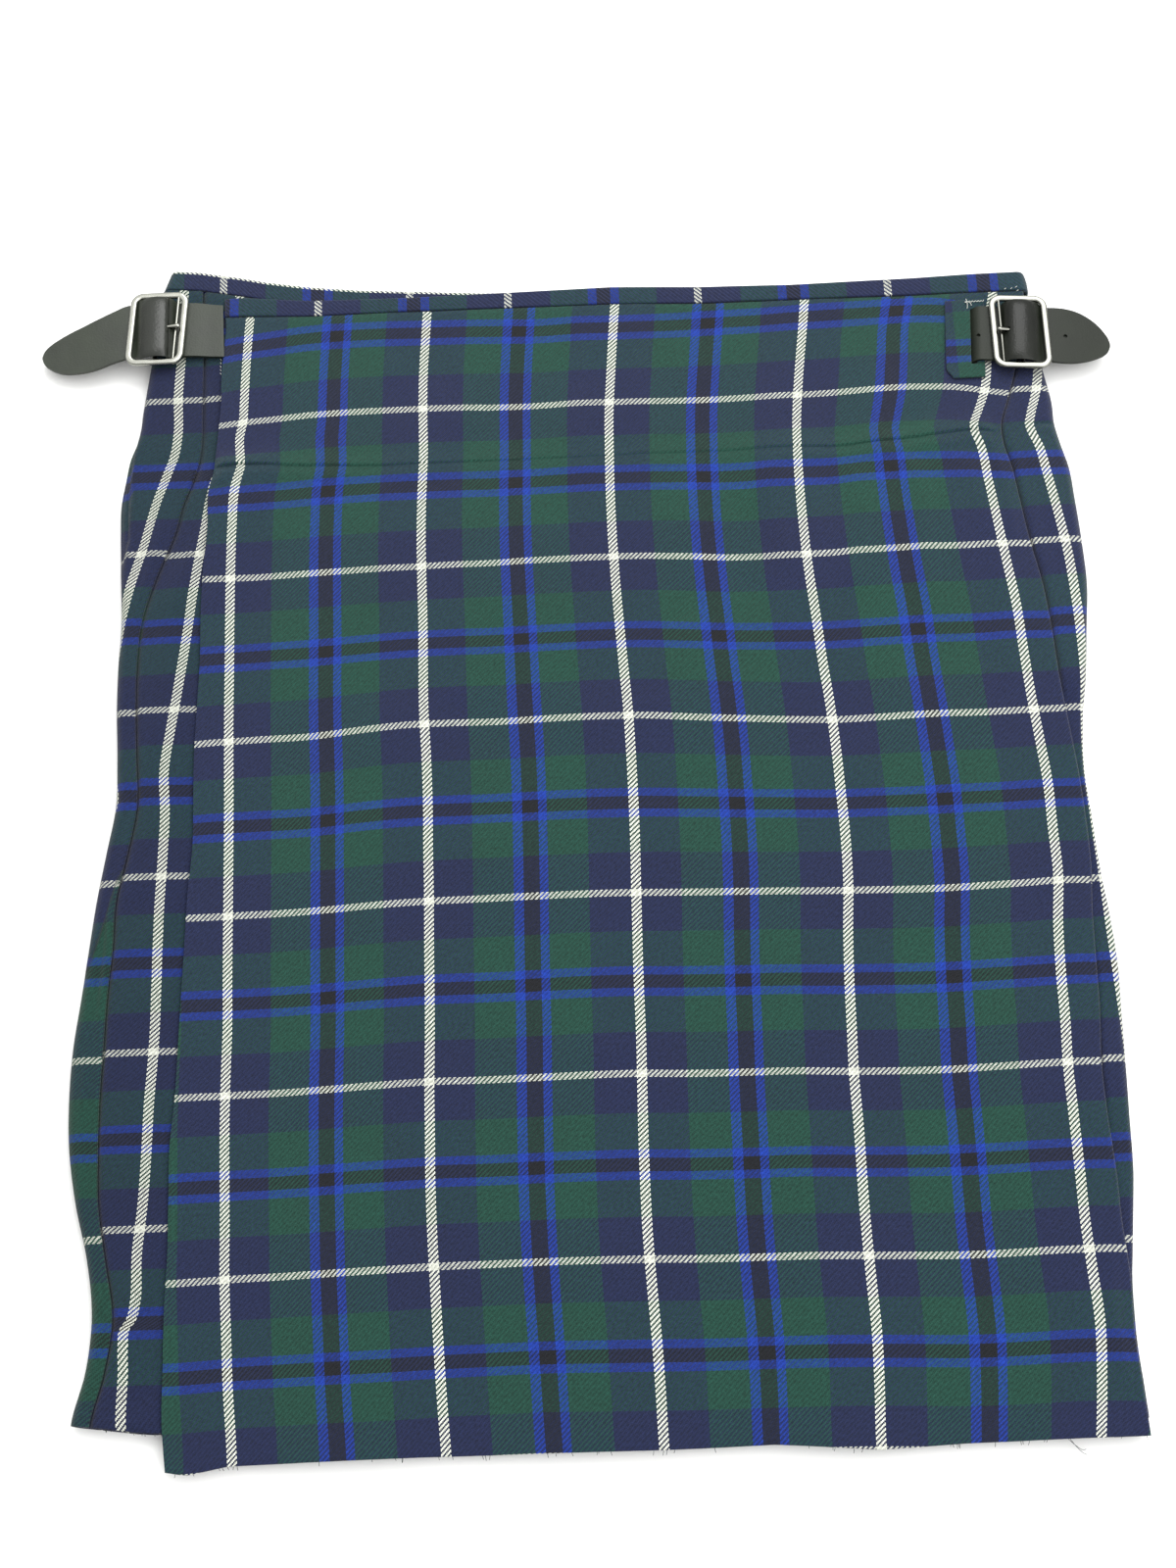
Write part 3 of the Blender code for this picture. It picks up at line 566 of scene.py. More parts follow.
# %% [markdown]
# ## Cloth from a grid
# A folded piece of cloth is one flat sheet whose points have moved. So every piece of wool
# starts as a grid primitive, its points are laid on the folded form row by row, and then a
# Solidify modifier gives it a wall and a small Bevel rounds its cut edges. The map that the
# wool reads is written on the same grid, and so it follows each fold.

# %% Helper: lay a grid on a folded form
def start_clean():
    if bpy.context.mode != "OBJECT":
        bpy.ops.object.mode_set(mode="OBJECT")
    bpy.ops.object.select_all(action="DESELECT")


def pick_alone(piece):
    start_clean()
    piece.select_set(True)
    bpy.context.view_layer.objects.active = piece


def apply_modifiers(piece):
    pick_alone(piece)
    for modifier in list(piece.modifiers):
        bpy.ops.object.modifier_apply(modifier=modifier.name)


def finish_piece(piece, slot, *nodes):
    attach(piece, "root")
    if nodes:
        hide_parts(*nodes)
    return piece


def select_where(piece, kind, test):
    """In edit mode, selects the edges or faces that a test picks."""
    bm = bmesh.from_edit_mesh(piece.data)
    bm.faces.ensure_lookup_table()
    for item in [*bm.faces, *bm.edges, *bm.verts]:
        item.select = False
    for item in (bm.faces if kind == "FACE" else bm.edges):
        if test(item):
            item.select_set(True)
    bmesh.update_edit_mesh(piece.data)


def remove_faces(piece, doomed):
    """Deletes the faces whose number is listed."""
    doomed = set(doomed)
    pick_alone(piece)
    bpy.ops.object.mode_set(mode="EDIT")
    bpy.ops.mesh.select_mode(type="FACE")
    select_where(piece, "FACE", lambda face: face.index in doomed)
    bpy.ops.mesh.delete(type="FACE")
    bpy.ops.object.mode_set(mode="OBJECT")


def lay_grid(name, points, check, wall, material, doomed=(), rim=0.3):
    """points and check are grids of places in mm; the piece gets a wall in mm."""
    rows, cols = points.shape[:2]
    start_clean()
    bpy.ops.mesh.primitive_grid_add(x_subdivisions=cols - 1, y_subdivisions=rows - 1,
                                    size=1, calc_uvs=False)
    piece = bpy.context.object
    piece.name = piece.data.name = name
    mesh = piece.data
    assert len(mesh.vertices) == rows * cols
    mesh.vertices.foreach_set("co", ((points + MOVED) * MM).ravel())
    layer = mesh.uv_layers.new(name="cloth")
    corner = np.empty(len(mesh.loops), int)
    mesh.loops.foreach_get("vertex_index", corner)
    repeats = np.stack([check[0] / CHECK_WIDE, check[1] / CHECK_HIGH], -1).reshape(-1, 2)
    layer.data.foreach_set("uv", repeats[corner].ravel())
    mesh.update()
    if len(doomed):
        remove_faces(piece, doomed)
    solid = piece.modifiers.new("wall", "SOLIDIFY")
    solid.thickness, solid.offset = wall * MM, 0
    if rim:
        bevel = piece.modifiers.new("rim", "BEVEL")
        bevel.width, bevel.segments, bevel.limit_method = rim * MM, 2, "ANGLE"
        bevel.angle_limit = deg(60)
    apply_modifiers(piece)
    piece.data.materials.append(material)
    bpy.ops.object.shade_smooth_by_angle(angle=deg(55))
    print(name, "has", sum(len(p.vertices) - 2 for p in piece.data.polygons), "triangles")
    return piece


def span(start, end, count):
    """Points on a straight line, without its ends."""
    return [(blend(start[0], end[0], t), blend(start[1], end[1], t))
            for t in np.linspace(0, 1, count + 2)[1:-1]]


def stations(count):
    """Rows from the waist seam to the hem, closer together at the line of stitches."""
    extra = np.concatenate([np.linspace(0.118, 0.172, 12), np.linspace(0.134, 0.156, 28)])
    own = [0.0148, 0.0765]
    return np.unique(np.round(np.concatenate([np.linspace(0, 1, count), extra, own]), 5))


print("rows for 150 stations:", len(stations(150)))


# %% [markdown]
# ## The over apron
# The front flap is the outermost layer. Its right edge is pressed back on itself, its left
# edge is free, and it lies over the step where the under apron leaves the hip. The pleats
# under it are sewn down for the first 80 mm, and where that stitching ends the cloth makes
# a shallow tuck with small puckers. These are ridges along drawn lines, so they catch the
# light just where the photograph shows them.

# %% Small folds of the over apron
TUCK = ((-207, 189.5), (-192.7, 190), (-181, 191.7), (-163.6, 191.5), (-107.4, 188.9),
        (-20, 189.0), (60, 189.2), (133.3, 189.4), (162.1, 191.5), (180.7, 193.5),
        (201.3, 195.5), (218.5, 192.9), (232, 195.0))
APRON_CREASES = (
    # drawn line, height, spread
    (((-188, 186), (-183, 168), (-184, 140)), 0.8, 3.2),
    (((-180, 187), (-168, 170), (-160, 140)), 0.5, 5.0),
    (((96, 187), (92, 165), (100, 120)), 0.9, 6.0),
    (((138, 184), (140, 160), (132, 100)), 0.9, 7.0),
    (((165, 189), (172, 160), (170, 90)), 0.7, 6.0),
    (((192, 190), (204, 150), (208, 90), (206, 40)), 0.8, 6.5),
    (((212, 190), (216, 165), (220, 120)), 0.7, 4.0),
    (((60, 186), (52, 150), (56, 100)), 0.5, 8.0),
    (((-40, 186), (-36, 140), (-44, 90)), 0.5, 9.0),
    (((-110, 186), (-104, 150), (-112, 100)), 0.5, 9.0),
    (((30, 276), (26, 240), (30, 200)), 0.35, 7.0),
    (((-60, 276), (-64, 240), (-60, 200)), 0.35, 8.0),
    (((110, 276), (104, 240), (108, 200)), 0.4, 8.0),
    (((168, 276), (174, 250), (170, 205)), 0.5, 7.0),
    (((226, -228), (222, -262), (228, -300)), 0.8, 5.0),
    (((205, -240), (212, -270), (206, -312)), 0.6, 7.0),
)


def apron_folds(x, y):
    """Height of the small folds over the apron's resting form."""
    d, side, _ = off_line(x, y, TUCK)
    ends = blend(0.3, 1.0, ease(np.abs(x - 5) / 190))
    lip = np.where(side < 0, np.exp(-(d / 5.5) ** 1.5), np.exp(-(d / 0.7) ** 2))
    below = np.where(side < 0, 0.0, np.exp(-((d - 6) / 4.2) ** 2))
    ends = ends + 0.9 * np.exp(-((x + 190) / 16) ** 2)
    tuck = ends * (1.15 * lip + 0.6 * below)
    pucker = 0.32 * np.sin(x / 5.3 + 2 * np.sin(x / 31)) * np.exp(-((d - 4) / 7) ** 2) * ends
    total = tuck + np.maximum(pucker, -0.1)
    for line, high, spread in APRON_CREASES:
        total = total + crease(x, y, line, high, spread)
    hem = ease((-296 - y) / 20)
    total = total + hem * np.maximum(0.5 * np.sin(x / 13 + 1.5 * np.sin(x / 47)), -0.1)
    noise = uneven(x, y, 34, 3) * 0.45 + uneven(x, y, 11, 4) * 0.14
    return total + np.maximum(noise, -0.12)


# %% Over apron
SLIT_X, SLIT_MIDDLE, SLIT_LEAN = (198.0, 207.8), 249.3, 0.07
steps = stations(205)
hidden = [(FOLD_DEPTH, DEPTHS[1]), (9.0, DEPTHS[1]), (4.0, DEPTHS[1])]
hidden += [(FOLD_TURN * math.sin(a), DEPTHS[0] + FOLD_TURN + FOLD_TURN * math.cos(a))
           for a in np.linspace(0, math.pi, 9) * -1]
rows_xyz, rows_check = [], []
for v in steps:
    y_edge = blend(*EDGE_SPAN, v)
    edge, free = (float(edge_at(name, y_edge)) for name in ("folded_edge", "free_edge"))
    middle = edge - FOLD_EDGE
    xs = np.concatenate([blend(middle, SLIT_X[1], np.linspace(0, 1, 12)[1:]),
                         blend(SLIT_X[1], SLIT_X[0], np.linspace(0, 1, 4)[1:]),
                         np.linspace(SLIT_X[0], -183.0, 152)[1:],
                         blend(-183.0, free, np.linspace(0, 1, 9)[1:])])
    row = [(middle - s, HIP_TOP - d) for s, d in hidden]
    xs_all = np.concatenate([[p[0] for p in row], xs])
    ys = blend(read(ENDS_COLUMNS, APRON_ENDS, "seam", xs_all),
               read(ENDS_COLUMNS, APRON_ENDS, "hem", xs_all), v)
    lean = ease((0.3 - v) / 0.15) * SLIT_LEAN
    near = np.clip(1 - np.abs(xs_all - 200.5) / 26, 0, 1)
    near[:len(hidden)] = 0
    xs_all = xs_all + (ys - SLIT_MIDDLE) * lean * near
    top = apron_top(xs_all, ys) + apron_folds(xs_all, ys) * ease((xs_all - free) / 5) \
        * ease((middle + 0.5 - xs_all) / 8) - WALL / 2
    top[:len(hidden)] = [p[1] for p in row]
    rows_xyz.append(np.stack([xs_all, ys, top], -1))
    reach = np.concatenate([[0], np.cumsum(np.hypot(np.diff(xs_all), np.diff(top)))])
    k = len(hidden)
    across, down = apron_check(xs_all + MOVED[0], ys + MOVED[1])
    across[:k] = across[k] + reach[k] - reach[:k]
    rows_check.append((across, down))
points = np.array(rows_xyz)
check = np.array(rows_check).transpose(1, 0, 2)
first = len(hidden) + 11 - 1
low, high = np.searchsorted(steps, 0.01479), np.searchsorted(steps, 0.07649)
slit_faces = [r * (points.shape[1] - 1) + c for r in range(low, high)
              for c in range(first, first + 3)]
over_apron = lay_grid("over_apron_cloth", points, check, WALL, wool, slit_faces)
finish_piece(over_apron, "wool", "over_apron")

# %% [markdown]
# ## The under apron and the pleats
# These are one run of cloth. Each pleat comes out from under its neighbour, lies flat, and
# turns back under the next. At both hips the run goes round the side of the stack. The
# path of each is drawn in one section, and the table of the outline moves it up and down
# the kilt. Every pleat shows the same stripe, which is how a maker sets them.

# %% One section of the run of cloth
BACK_FOLDS, FIRST_IN, LAST_IN = 18, 14.0, 26.0
COARSE = (0.0, 0.15, 0.3, 0.5, 0.7, 0.9, 1.0)
GO_UNDER = ((-5.6, 0.60), (-4.4, 0.72), (-3.5, 1.00), (-3.0, 1.42), (-2.68, 1.95),
            (-2.25, 2.75), (-1.75, 3.47), (-1.0, 3.70), (0.2, 3.76))


def linear_edge(name, y):
    return float(read(OUTLINE_COLUMNS, OUTLINE, name, y))


def side_places(v, exact=False):
    """Left side, right side, the apron's folded edge and how full the strip there is."""
    at = linear_edge if exact else lambda name, y: float(edge_at(name, y))
    left = at("left", blend(*LEFT_SPAN, v))
    edge = at("folded_edge", blend(*EDGE_SPAN, v))
    wide = at("right", blend(*RIGHT_SPAN, v)) - edge
    return left, edge + wide - 1.4 * (1 - ease(wide / 3.0)), edge, float(ease((wide - 9.2) / 5.0))


def back_folds(v):
    first = [side_places(c, True)[0] + FIRST_IN for c in COARSE]
    last = [side_places(c, True)[1] - LAST_IN for c in COARSE]
    a, b = float(np.interp(v, COARSE, first)), float(np.interp(v, COARSE, last))
    return [blend(a, b, k / (BACK_FOLDS - 1)) + FOLD_EDGE for k in range(BACK_FOLDS)]


def fold_back(x):
    """A pressed fold under the stack: the cloth comes from the right and goes back."""
    return [(x - FOLD_TURN * math.sin(a), DEPTHS[0] + FOLD_TURN + FOLD_TURN * math.cos(a))
            for a in np.linspace(0, math.pi, 9)]


def go_under(x, depth, share=1.0):
    run = [(x + s, DEPTHS[0] + (d - DEPTHS[0]) * share) for s, d in GO_UNDER]
    return run + [(x + depth, DEPTHS[0] + (DEPTHS[2] - DEPTHS[0]) * share)]


def seam_y(x, v):
    return blend(read(ENDS_COLUMNS, UNDER_ENDS, "seam", x),
                 read(ENDS_COLUMNS, UNDER_ENDS, "hem", x), v)


def on_left(x, depth, left, v):
    """A point of the front's left part, as deep below its top as is said."""
    if x >= left + TURN:
        return x, float(under_top(x, seam_y(x, v))) - depth
    angle = math.radians(90 - math.degrees((left + TURN - x) / TURN))
    reach = TURN - depth
    return left + TURN - reach * math.cos(angle), TURN + reach * math.sin(angle)


def left_fold(v):
    """Left side, middle of the left hip pleat's fold and how deep the fold goes in."""
    left = side_places(v)[0]
    fold_x = max(float(edge_at("pleat_fold", blend(*LEFT_SPAN, v))), left + 8.6)
    middle = fold_x - FOLD_EDGE
    return left, middle, min(FOLD_DEPTH, max(1.2, middle - left - TURN + 1.5))


def run_lengths(path):
    """Length of a path up to each of its points."""
    path = np.array(path)
    return np.concatenate([[0], np.cumsum(np.linalg.norm(np.diff(path, axis=0), axis=1))])


print("back folds at the waist start at", round(back_folds(0.0)[0], 1), "mm")

# %% The pleat on the left hip
LEFT_CREASES = (
    # drawn line, height, spread: negative heights are grooves
    (((-222, 60), (-229, 30), (-236, 8)), 0.9, 3.0),
    (((-222, -18), (-230, 0), (-237, 10)), 0.8, 3.0),
    (((-228, -210), (-235, -230), (-242, -246)), 1.0, 3.0),
    (((-232, -286), (-236, -266), (-242, -250)), 1.0, 3.0),
    (((-214, 190), (-220, 170), (-228, 120), (-234, 80)), 0.6, 4.0),
    (((-206, 196), (-213, 196), (-222, 194), (-234, 192)), -0.5, 1.6),
    (((-250, -110), (-252, -150), (-250, -200)), 0.7, 2.4),
)


# Where the strip is folded once more: a sliver at its outer side near the waist, (y, x), and
# a taper lower down, below which the next layer shows
SLIVER = ((222, -231.5), (205, -234.5), (186, -236.8), (150, -237.5), (135, -240.0))
TAPER = ((-28, -236.5), (-38, -240.2), (-55, -244.8), (-74, -250.5), (-86, -256.0),
         (-90, -275.0))


def in_sliver(x, y):
    edge = down_line(SLIVER, y)
    return ease((edge - x) / 1.2) * ease((226 - y) / 8) * ease((y - 134) / 8)


def in_next_layer(x, y):
    edge = read(("y", "x"), TAPER, "x", y)
    return np.where(y > -28, 0.0, ease((x - edge) / 0.8))


def left_folds(x, y):
    total = 0.35 * np.maximum(uneven(x, y, 18, 8), -0.4)
    total = total - 2.3 * in_sliver(x, y)
    total = total - 0.9 * in_next_layer(x, y) * ease((-28 - y) / 10) * ease((y + 130) / 50)
    for line, high, spread in LEFT_CREASES:
        total = total + crease(x, y, line, high, spread)
    return total


steps = stations(190)
rows_xyz, rows_check = [], []
for v in steps:
    left, middle, deep = left_fold(v)
    path = [on_left(middle - s, DEPTHS[1], left, v) for s in (deep, deep * 0.5)]
    path += [on_left(middle + FOLD_TURN * math.sin(a),
                     DEPTHS[0] + FOLD_TURN + FOLD_TURN * math.cos(a), left, v)
             for a in np.linspace(0, math.pi, 9)]
    start, begin = len(path), middle - 0.8
    path += [on_left(x, DEPTHS[0], left, v)
             for x in np.linspace(begin, left + TURN, 16)]
    path += [(left + TURN - (TURN - DEPTHS[0]) * math.cos(math.radians(a)),
              TURN + (TURN - DEPTHS[0]) * math.sin(math.radians(a)))
             for a in np.linspace(84, -90, 18)]
    under = len(path)
    fold0 = back_folds(v)[0]
    path += span(path[-1], (fold0 + GO_UNDER[0][0], DEPTHS[0]), 2)
    path += go_under(fold0, FOLD_DEPTH)
    path = np.array(path)
    x, z = path[:, 0], path[:, 1].copy()
    y = seam_y(x, v)
    lift = left_folds(x, y)
    lift[:start + 1] = 0
    lift[under - 3:] = 0
    top = ease((z - 3.5) / 3.5)
    z = z + np.where(lift < 0, np.maximum(lift, -2.4), lift) * top \
        * ease((begin - x) / 2.5)
    reach = run_lengths(path)
    y_final = y + MOVED[1]
    line = down_line(LEFT_DOWN, y_final[start + 1]) - MOVED[0]
    across = (x[start + 1] - line) - (reach - reach[start + 1])
    deeper = in_next_layer(x, y)
    across = blend(across, 37.4 - (reach - reach[start + 1]), deeper)
    lower = np.interp(y_final, (-50, 40, 130, 220), (3.2, 1.6, -1.4, 0.8))
    rows_xyz.append(np.stack([x, y, z], -1))
    rows_check.append((across, hip_rows(y_final + lower + 4.6 * in_sliver(x, y))))
# The left hip pleat uses the wool with painted shade
left_pleat = lay_grid("left_hip_pleat_cloth", np.array(rows_xyz),
                      np.array(rows_check).transpose(1, 0, 2), WALL, painted_shade_wool)
finish_piece(left_pleat, "wool", "left_hip_pleat")

# %% The pleats of the back
steps = np.linspace(0, 1, 61)
rows_xyz, rows_check = [], []
for v in steps:
    folds = back_folds(v)
    path, marks, at = [], [], []
    for k in range(BACK_FOLDS - 1):
        path += [(folds[k] + FOLD_DEPTH, DEPTHS[1]), (folds[k] + 7, DEPTHS[1])]
        path += fold_back(folds[k])
        marks.append(len(path) - 1)
        at.append(-CHECK_WIDE * (k + 1) + 12.0)
        stop = (folds[k + 1] + GO_UNDER[0][0], DEPTHS[0])
        path += span((folds[k], DEPTHS[0]), stop, 5)
        marks.append(len(path))
        at.append(at[-1] - (stop[0] - folds[k]))
        path += go_under(folds[k + 1], FOLD_DEPTH)
        if k < BACK_FOLDS - 2:
            inner = folds[k + 1] + FOLD_DEPTH
            path += [(inner + FOLD_TURN * math.sin(a),
                      DEPTHS[1] + FOLD_TURN + FOLD_TURN * math.cos(a))
                     for a in np.linspace(0, math.pi, 7)[1:-1]]
    path = np.array(path)
    y = seam_y(path[:, 0], v)
    reach = run_lengths(path)
    across = np.interp(reach, reach[marks], at)
    rows_xyz.append(np.stack([path[:, 0], y, path[:, 1]], -1))
    rows_check.append((across, hip_rows(y + MOVED[1])))
back = lay_grid("back_pleats_cloth", np.array(rows_xyz),
                np.array(rows_check).transpose(1, 0, 2), WALL, wool, rim=0)
finish_piece(back, "wool", "back_pleats")

# %% The pleat on the right hip
RIGHT_CREASES = (
    (((230, 194), (238, 197), (244, 195)), -0.6, 1.6),
    (((232, 190), (238, 160), (243, 110)), 0.7, 3.0),
    (((228, -236), (232, -256), (236, -268)), 0.8, 2.4),
    (((227, -306), (231, -288), (235, -272)), 0.8, 2.4),
    (((236, 60), (240, 20), (238, -30)), 0.5, 2.6),
)


def right_folds(x, y):
    total = 0.3 * np.maximum(uneven(x, y, 16, 12), -0.4)
    for line, high, spread in RIGHT_CREASES:
        total = total + crease(x, y, line, high, spread)
    return total


steps = stations(170)
rows_xyz, rows_check = [], []
for v in steps:
    _, right, edge, full = side_places(v)
    strip = HIP_TOP - (1 - full) * (DEPTHS[2] - DEPTHS[0])
    middle, turn = back_folds(v)[-1], strip / 2
    path = [(middle + FOLD_DEPTH, DEPTHS[1]), (middle + 7, DEPTHS[1])] + fold_back(middle)
    path += span((middle, DEPTHS[0]), (right - turn, DEPTHS[0]), 6)
    loop = len(path)
    path += [(right - turn + (turn - DEPTHS[0]) * math.sin(a),
              turn - (turn - DEPTHS[0]) * math.cos(a)) for a in np.linspace(0, math.pi, 19)]
    top_at = len(path) - 1
    inner_edge = min(edge - FOLD_EDGE, right - turn - 6.0)
    tuck = [(inner_edge - s, strip - d)
            for s, d in go_under(0.0, inner_edge - edge + FOLD_EDGE + FOLD_DEPTH, full)]
    path += span(path[-1], tuck[0], 4) + tuck
    path = np.array(path)
    x, z = path[:, 0], path[:, 1].copy()
    y = seam_y(x, v)
    lift = right_folds(x, y) * ease((z - 4) / 3) * ease((x - inner_edge - 5.0) / 3)
    lift[:loop] = 0
    reach = run_lengths(path)
    y_final = y + MOVED[1]
    line = down_line(RIGHT_DOWN, y_final[top_at]) - MOVED[0]
    across = 400 + (x[top_at] - line) + (reach[top_at] - reach)
    rows_xyz.append(np.stack([x, y, z + lift], -1))
    under_share = ease((loop - np.arange(len(path))) / 5.0)
    rows_check.append((across, blend(rows_down(RIGHT_ACROSS, y_final), hip_rows(y_final),
                                     under_share)))
right_pleat = lay_grid("right_hip_pleat_cloth", np.array(rows_xyz),
                       np.array(rows_check).transpose(1, 0, 2), WALL, wool)
finish_piece(right_pleat, "wool", "right_hip_pleat")

# %% The under apron
UNDER_CREASES = (
    (((-238, -248.5), (-230, -249.5), (-222, -248.0), (-214, -243.0)), -1.1, 1.5),
    (((-236, -252), (-226, -262), (-218, -282)), 0.8, 3.5),
    (((-234, -245), (-224, -232), (-214, -214)), 0.8, 4.0),
    (((-236, 12), (-226, 14), (-216, 24)), -0.7, 1.8),
    (((-205, 196), (-200, 186), (-197, 170)), -0.6, 2.0),
)
steps = stations(170)
rows_xyz, rows_check = [], []
for v in steps:
    left, middle, deep = left_fold(v)
    edge = side_places(v)[2]
    stop = edge - FOLD_EDGE - FOLD_DEPTH - 7.0
    xs = np.concatenate([np.linspace(stop, -120, 24),
                         np.linspace(-120, middle + 5.6, 40)[1:-1]])
    path = [on_left(x, DEPTHS[0], left, v) for x in xs]
    path += [on_left(middle - s, d, left, v) for s, d in go_under(0.0, deep)]
    path = np.array(path)
    x, z = path[:, 0], path[:, 1].copy()
    y = seam_y(x, v)
    free = float(edge_at("free_edge", float(np.interp(-200, x[::-1], y[::-1]))))
    bare = ease((free - 4 - x) / 3) * ease((x - middle - 6) / 3)
    hollow = ease((middle + 17 - x) / 13) * ease((y - 60) / 50) * ease((262 - y) / 20)
    z = z - 1.1 * hollow * ease((z - 5.2) / 3.0)
    z = z + bare * (np.maximum(uneven(x, y, 14, 5) * 0.5, -0.2) + sum(
        crease(x, y, line, high, spread) for line, high, spread in UNDER_CREASES))
    y_final = y + MOVED[1]
    line = down_line(UNDER_DOWN, y_final) - MOVED[0]
    rows_xyz.append(np.stack([x, y, z], -1))
    higher = np.interp(y_final, (-300, -254, -205, -150), (0.0, 4.6, 1.2, 0.0))
    rows_check.append((x - line, hip_rows(y_final - higher)))
# The under apron uses the wool with painted shade
under_apron = lay_grid("under_apron_cloth", np.array(rows_xyz),
                       np.array(rows_check).transpose(1, 0, 2), WALL, painted_shade_wool)
finish_piece(under_apron, "wool", "under_apron")

# %% [markdown]
# ## The waistband
# The band is a strip cut along the other grain and folded double, so its twill leans the
# other way and its stripes cross it. It starts at the over apron's free edge, goes round
# the back and ends inside the front. Its top edge is a fold, rounded here by the bevel.

# %% Waistband
BAND_WALL, SEAM = 1.8, 0.6
FRONT, RIGHT_ROUND, BEHIND, LEFT_ROUND = 150, 15, 90, 13   # points on each part of the run
OVER_STEP, UNDER_STEP = 101.5, 99.4   # mm between white marks on the outer and the inner run
OVER_MARK, UNDER_MARK = -33.8 - MOVED[0], -86.5 - MOVED[0]
right_turn, left_turn, half = 4.85, HIP_TOP / 2, BAND_WALL / 2
rows_xyz, rows_check = [], []
for t in np.linspace(0, 1, 9):
    right = 239.4 - 1.6 * t**3
    places = []

    def add(x, z, ends, t=t, places=places):
        low = read(ENDS_COLUMNS, ends, "seam", x) + SEAM
        high = read(ENDS_COLUMNS, ends, "band_top", x)
        places.append((x, float(blend(low, high, t)), z, float(high)))

    free = linear_edge("free_edge", 280.0)
    for x in np.linspace(free, 215.0, FRONT):
        add(x, float(apron_top(x, 278.0)) - WALL + half + 0.10 * (1 - abs(2 * t - 1)), APRON_ENDS)
    for a in np.linspace(180, 0, RIGHT_ROUND):
        s, c = math.sin(math.radians(a)), math.cos(math.radians(a))
        add(right - right_turn + (right_turn - half) * s,
            right_turn - (right_turn - half) * c, APRON_ENDS if a > 90 else UNDER_ENDS)
    for x in np.linspace(200.0, -204.0, BEHIND):
        add(x, half, UNDER_ENDS)
    left = blend(-223.4, -219.6, t)
    for a in np.linspace(-90, 90, LEFT_ROUND):
        s, c = math.sin(math.radians(a)), math.cos(math.radians(a))
        add(left + left_turn - (left_turn - half) * c, left_turn + (left_turn - half) * s,
            UNDER_ENDS)
    for x in np.linspace(-204.0, 205.0, 140):
        add(x, float(under_top(x, 290.0)) - half, UNDER_ENDS)
    places = np.array(places)
    reach = run_lengths(places[:, [0, 2]])
    down = -(places[:, 0] - OVER_MARK) * CHECK_HIGH / OVER_STEP
    end, start = FRONT - 1, FRONT + RIGHT_ROUND + BEHIND + LEFT_ROUND
    inner = -(places[start:, 0] - UNDER_MARK) * CHECK_HIGH / UNDER_STEP
    down[start:] = inner + CHECK_HIGH * round((down[end] - inner[0]) / CHECK_HIGH) \
        - CHECK_HIGH * round((reach[start] - reach[end]) / OVER_STEP)
    down[FRONT:start] = np.interp(reach[FRONT:start], (reach[end], reach[start]),
                                  (down[end], down[start]))
    over = np.arange(len(places)) <= FRONT + RIGHT_ROUND
    across = places[:, 3] - places[:, 1] + np.where(over, 8.0, 1.5)
    rows_xyz.append(places[:, :3])
    rows_check.append((across, down))
rows_xyz, rows_check = rows_xyz[::-1], rows_check[::-1]
waistband = lay_grid("waistband_cloth", np.array(rows_xyz),
                     np.array(rows_check).transpose(1, 0, 2), BAND_WALL, wool, rim=0.55)
finish_piece(waistband, "wool", "waistband")

# %% [markdown]
# ## The patch round the slit
# The right strap comes from inside through a slit in the over apron. A small square of the
# same wool is sewn over the slit to keep it from tearing. It follows the apron's own
# surface a little higher up, with one corner rounded off.

# %% Slit patch
xs = np.concatenate([np.linspace(192.2, 205.4, 11), np.linspace(208.6, 212.6, 7)])
ys = np.concatenate([np.linspace(271.5, 265.9, 5), np.linspace(265.9, 232.7, 24)[1:],
                     np.linspace(232.7, 224.6, 8)[1:]])
grid_x, grid_y = np.meshgrid(xs, ys)
round_off = 3.6 * ease((232.5 - grid_y) / 8) ** 2 * ease((206 - grid_x) / 14)
px = grid_x + (grid_y - SLIT_MIDDLE) * SLIT_LEAN + round_off
pz = apron_top(px, grid_y) + 0.95 + 0.25 * np.maximum(uneven(px, grid_y, 7, 21), -0.2)
pz = pz + np.maximum(apron_folds(px, grid_y), 0) * 0.8
across = px + MOVED[0] - 201.5 + 22.0
down = 45.0 - (grid_y + MOVED[1] - 244.9) * 1.06
doomed = [r * (len(xs) - 1) + 10 for r in range(4, 27)]
patch = lay_grid("slit_patch_cloth", np.stack([px, grid_y, pz], -1),
                 np.stack([across, down]), 1.0, wool, doomed)
finish_piece(patch, "wool", "slit_patch")

# %% [markdown]
# ## Leather
# The straps are cow hide of about 1.8 mm, dyed a dull olive black, with a smooth grain
# side up. Leather shows three things at this distance: fine pores, slightly darker and
# glossier wear where it bends over the buckle's bar, and edges that are cut, not folded.

# %% Leather material
grain, taken, given = new_group(
    "leather grain", [("Place", "NodeSocketVector", None), ("Size", "NodeSocketFloat", 900.0)],
    [("Height", "NodeSocketFloat"), ("Cloudy", "NodeSocketFloat")])
pores = add_node(grain, "TexVoronoi", feature="F1",
                 inputs={"Vector": taken["Place"], "Scale": taken["Size"]})
wrinkle = add_node(grain, "TexNoise",
                   inputs={"Vector": taken["Place"], "Scale": 260.0, "Detail": 6.0})
cloudy = add_node(grain, "TexNoise",
                  inputs={"Vector": taken["Place"], "Scale": 45.0, "Detail": 4.0})
grain.links.new(maths(grain, "MULTIPLY_ADD", pores.outputs["Distance"], 0.6,
                      wrinkle.outputs["Fac"]), given["Height"])
grain.links.new(cloudy.outputs["Fac"], given["Cloudy"])

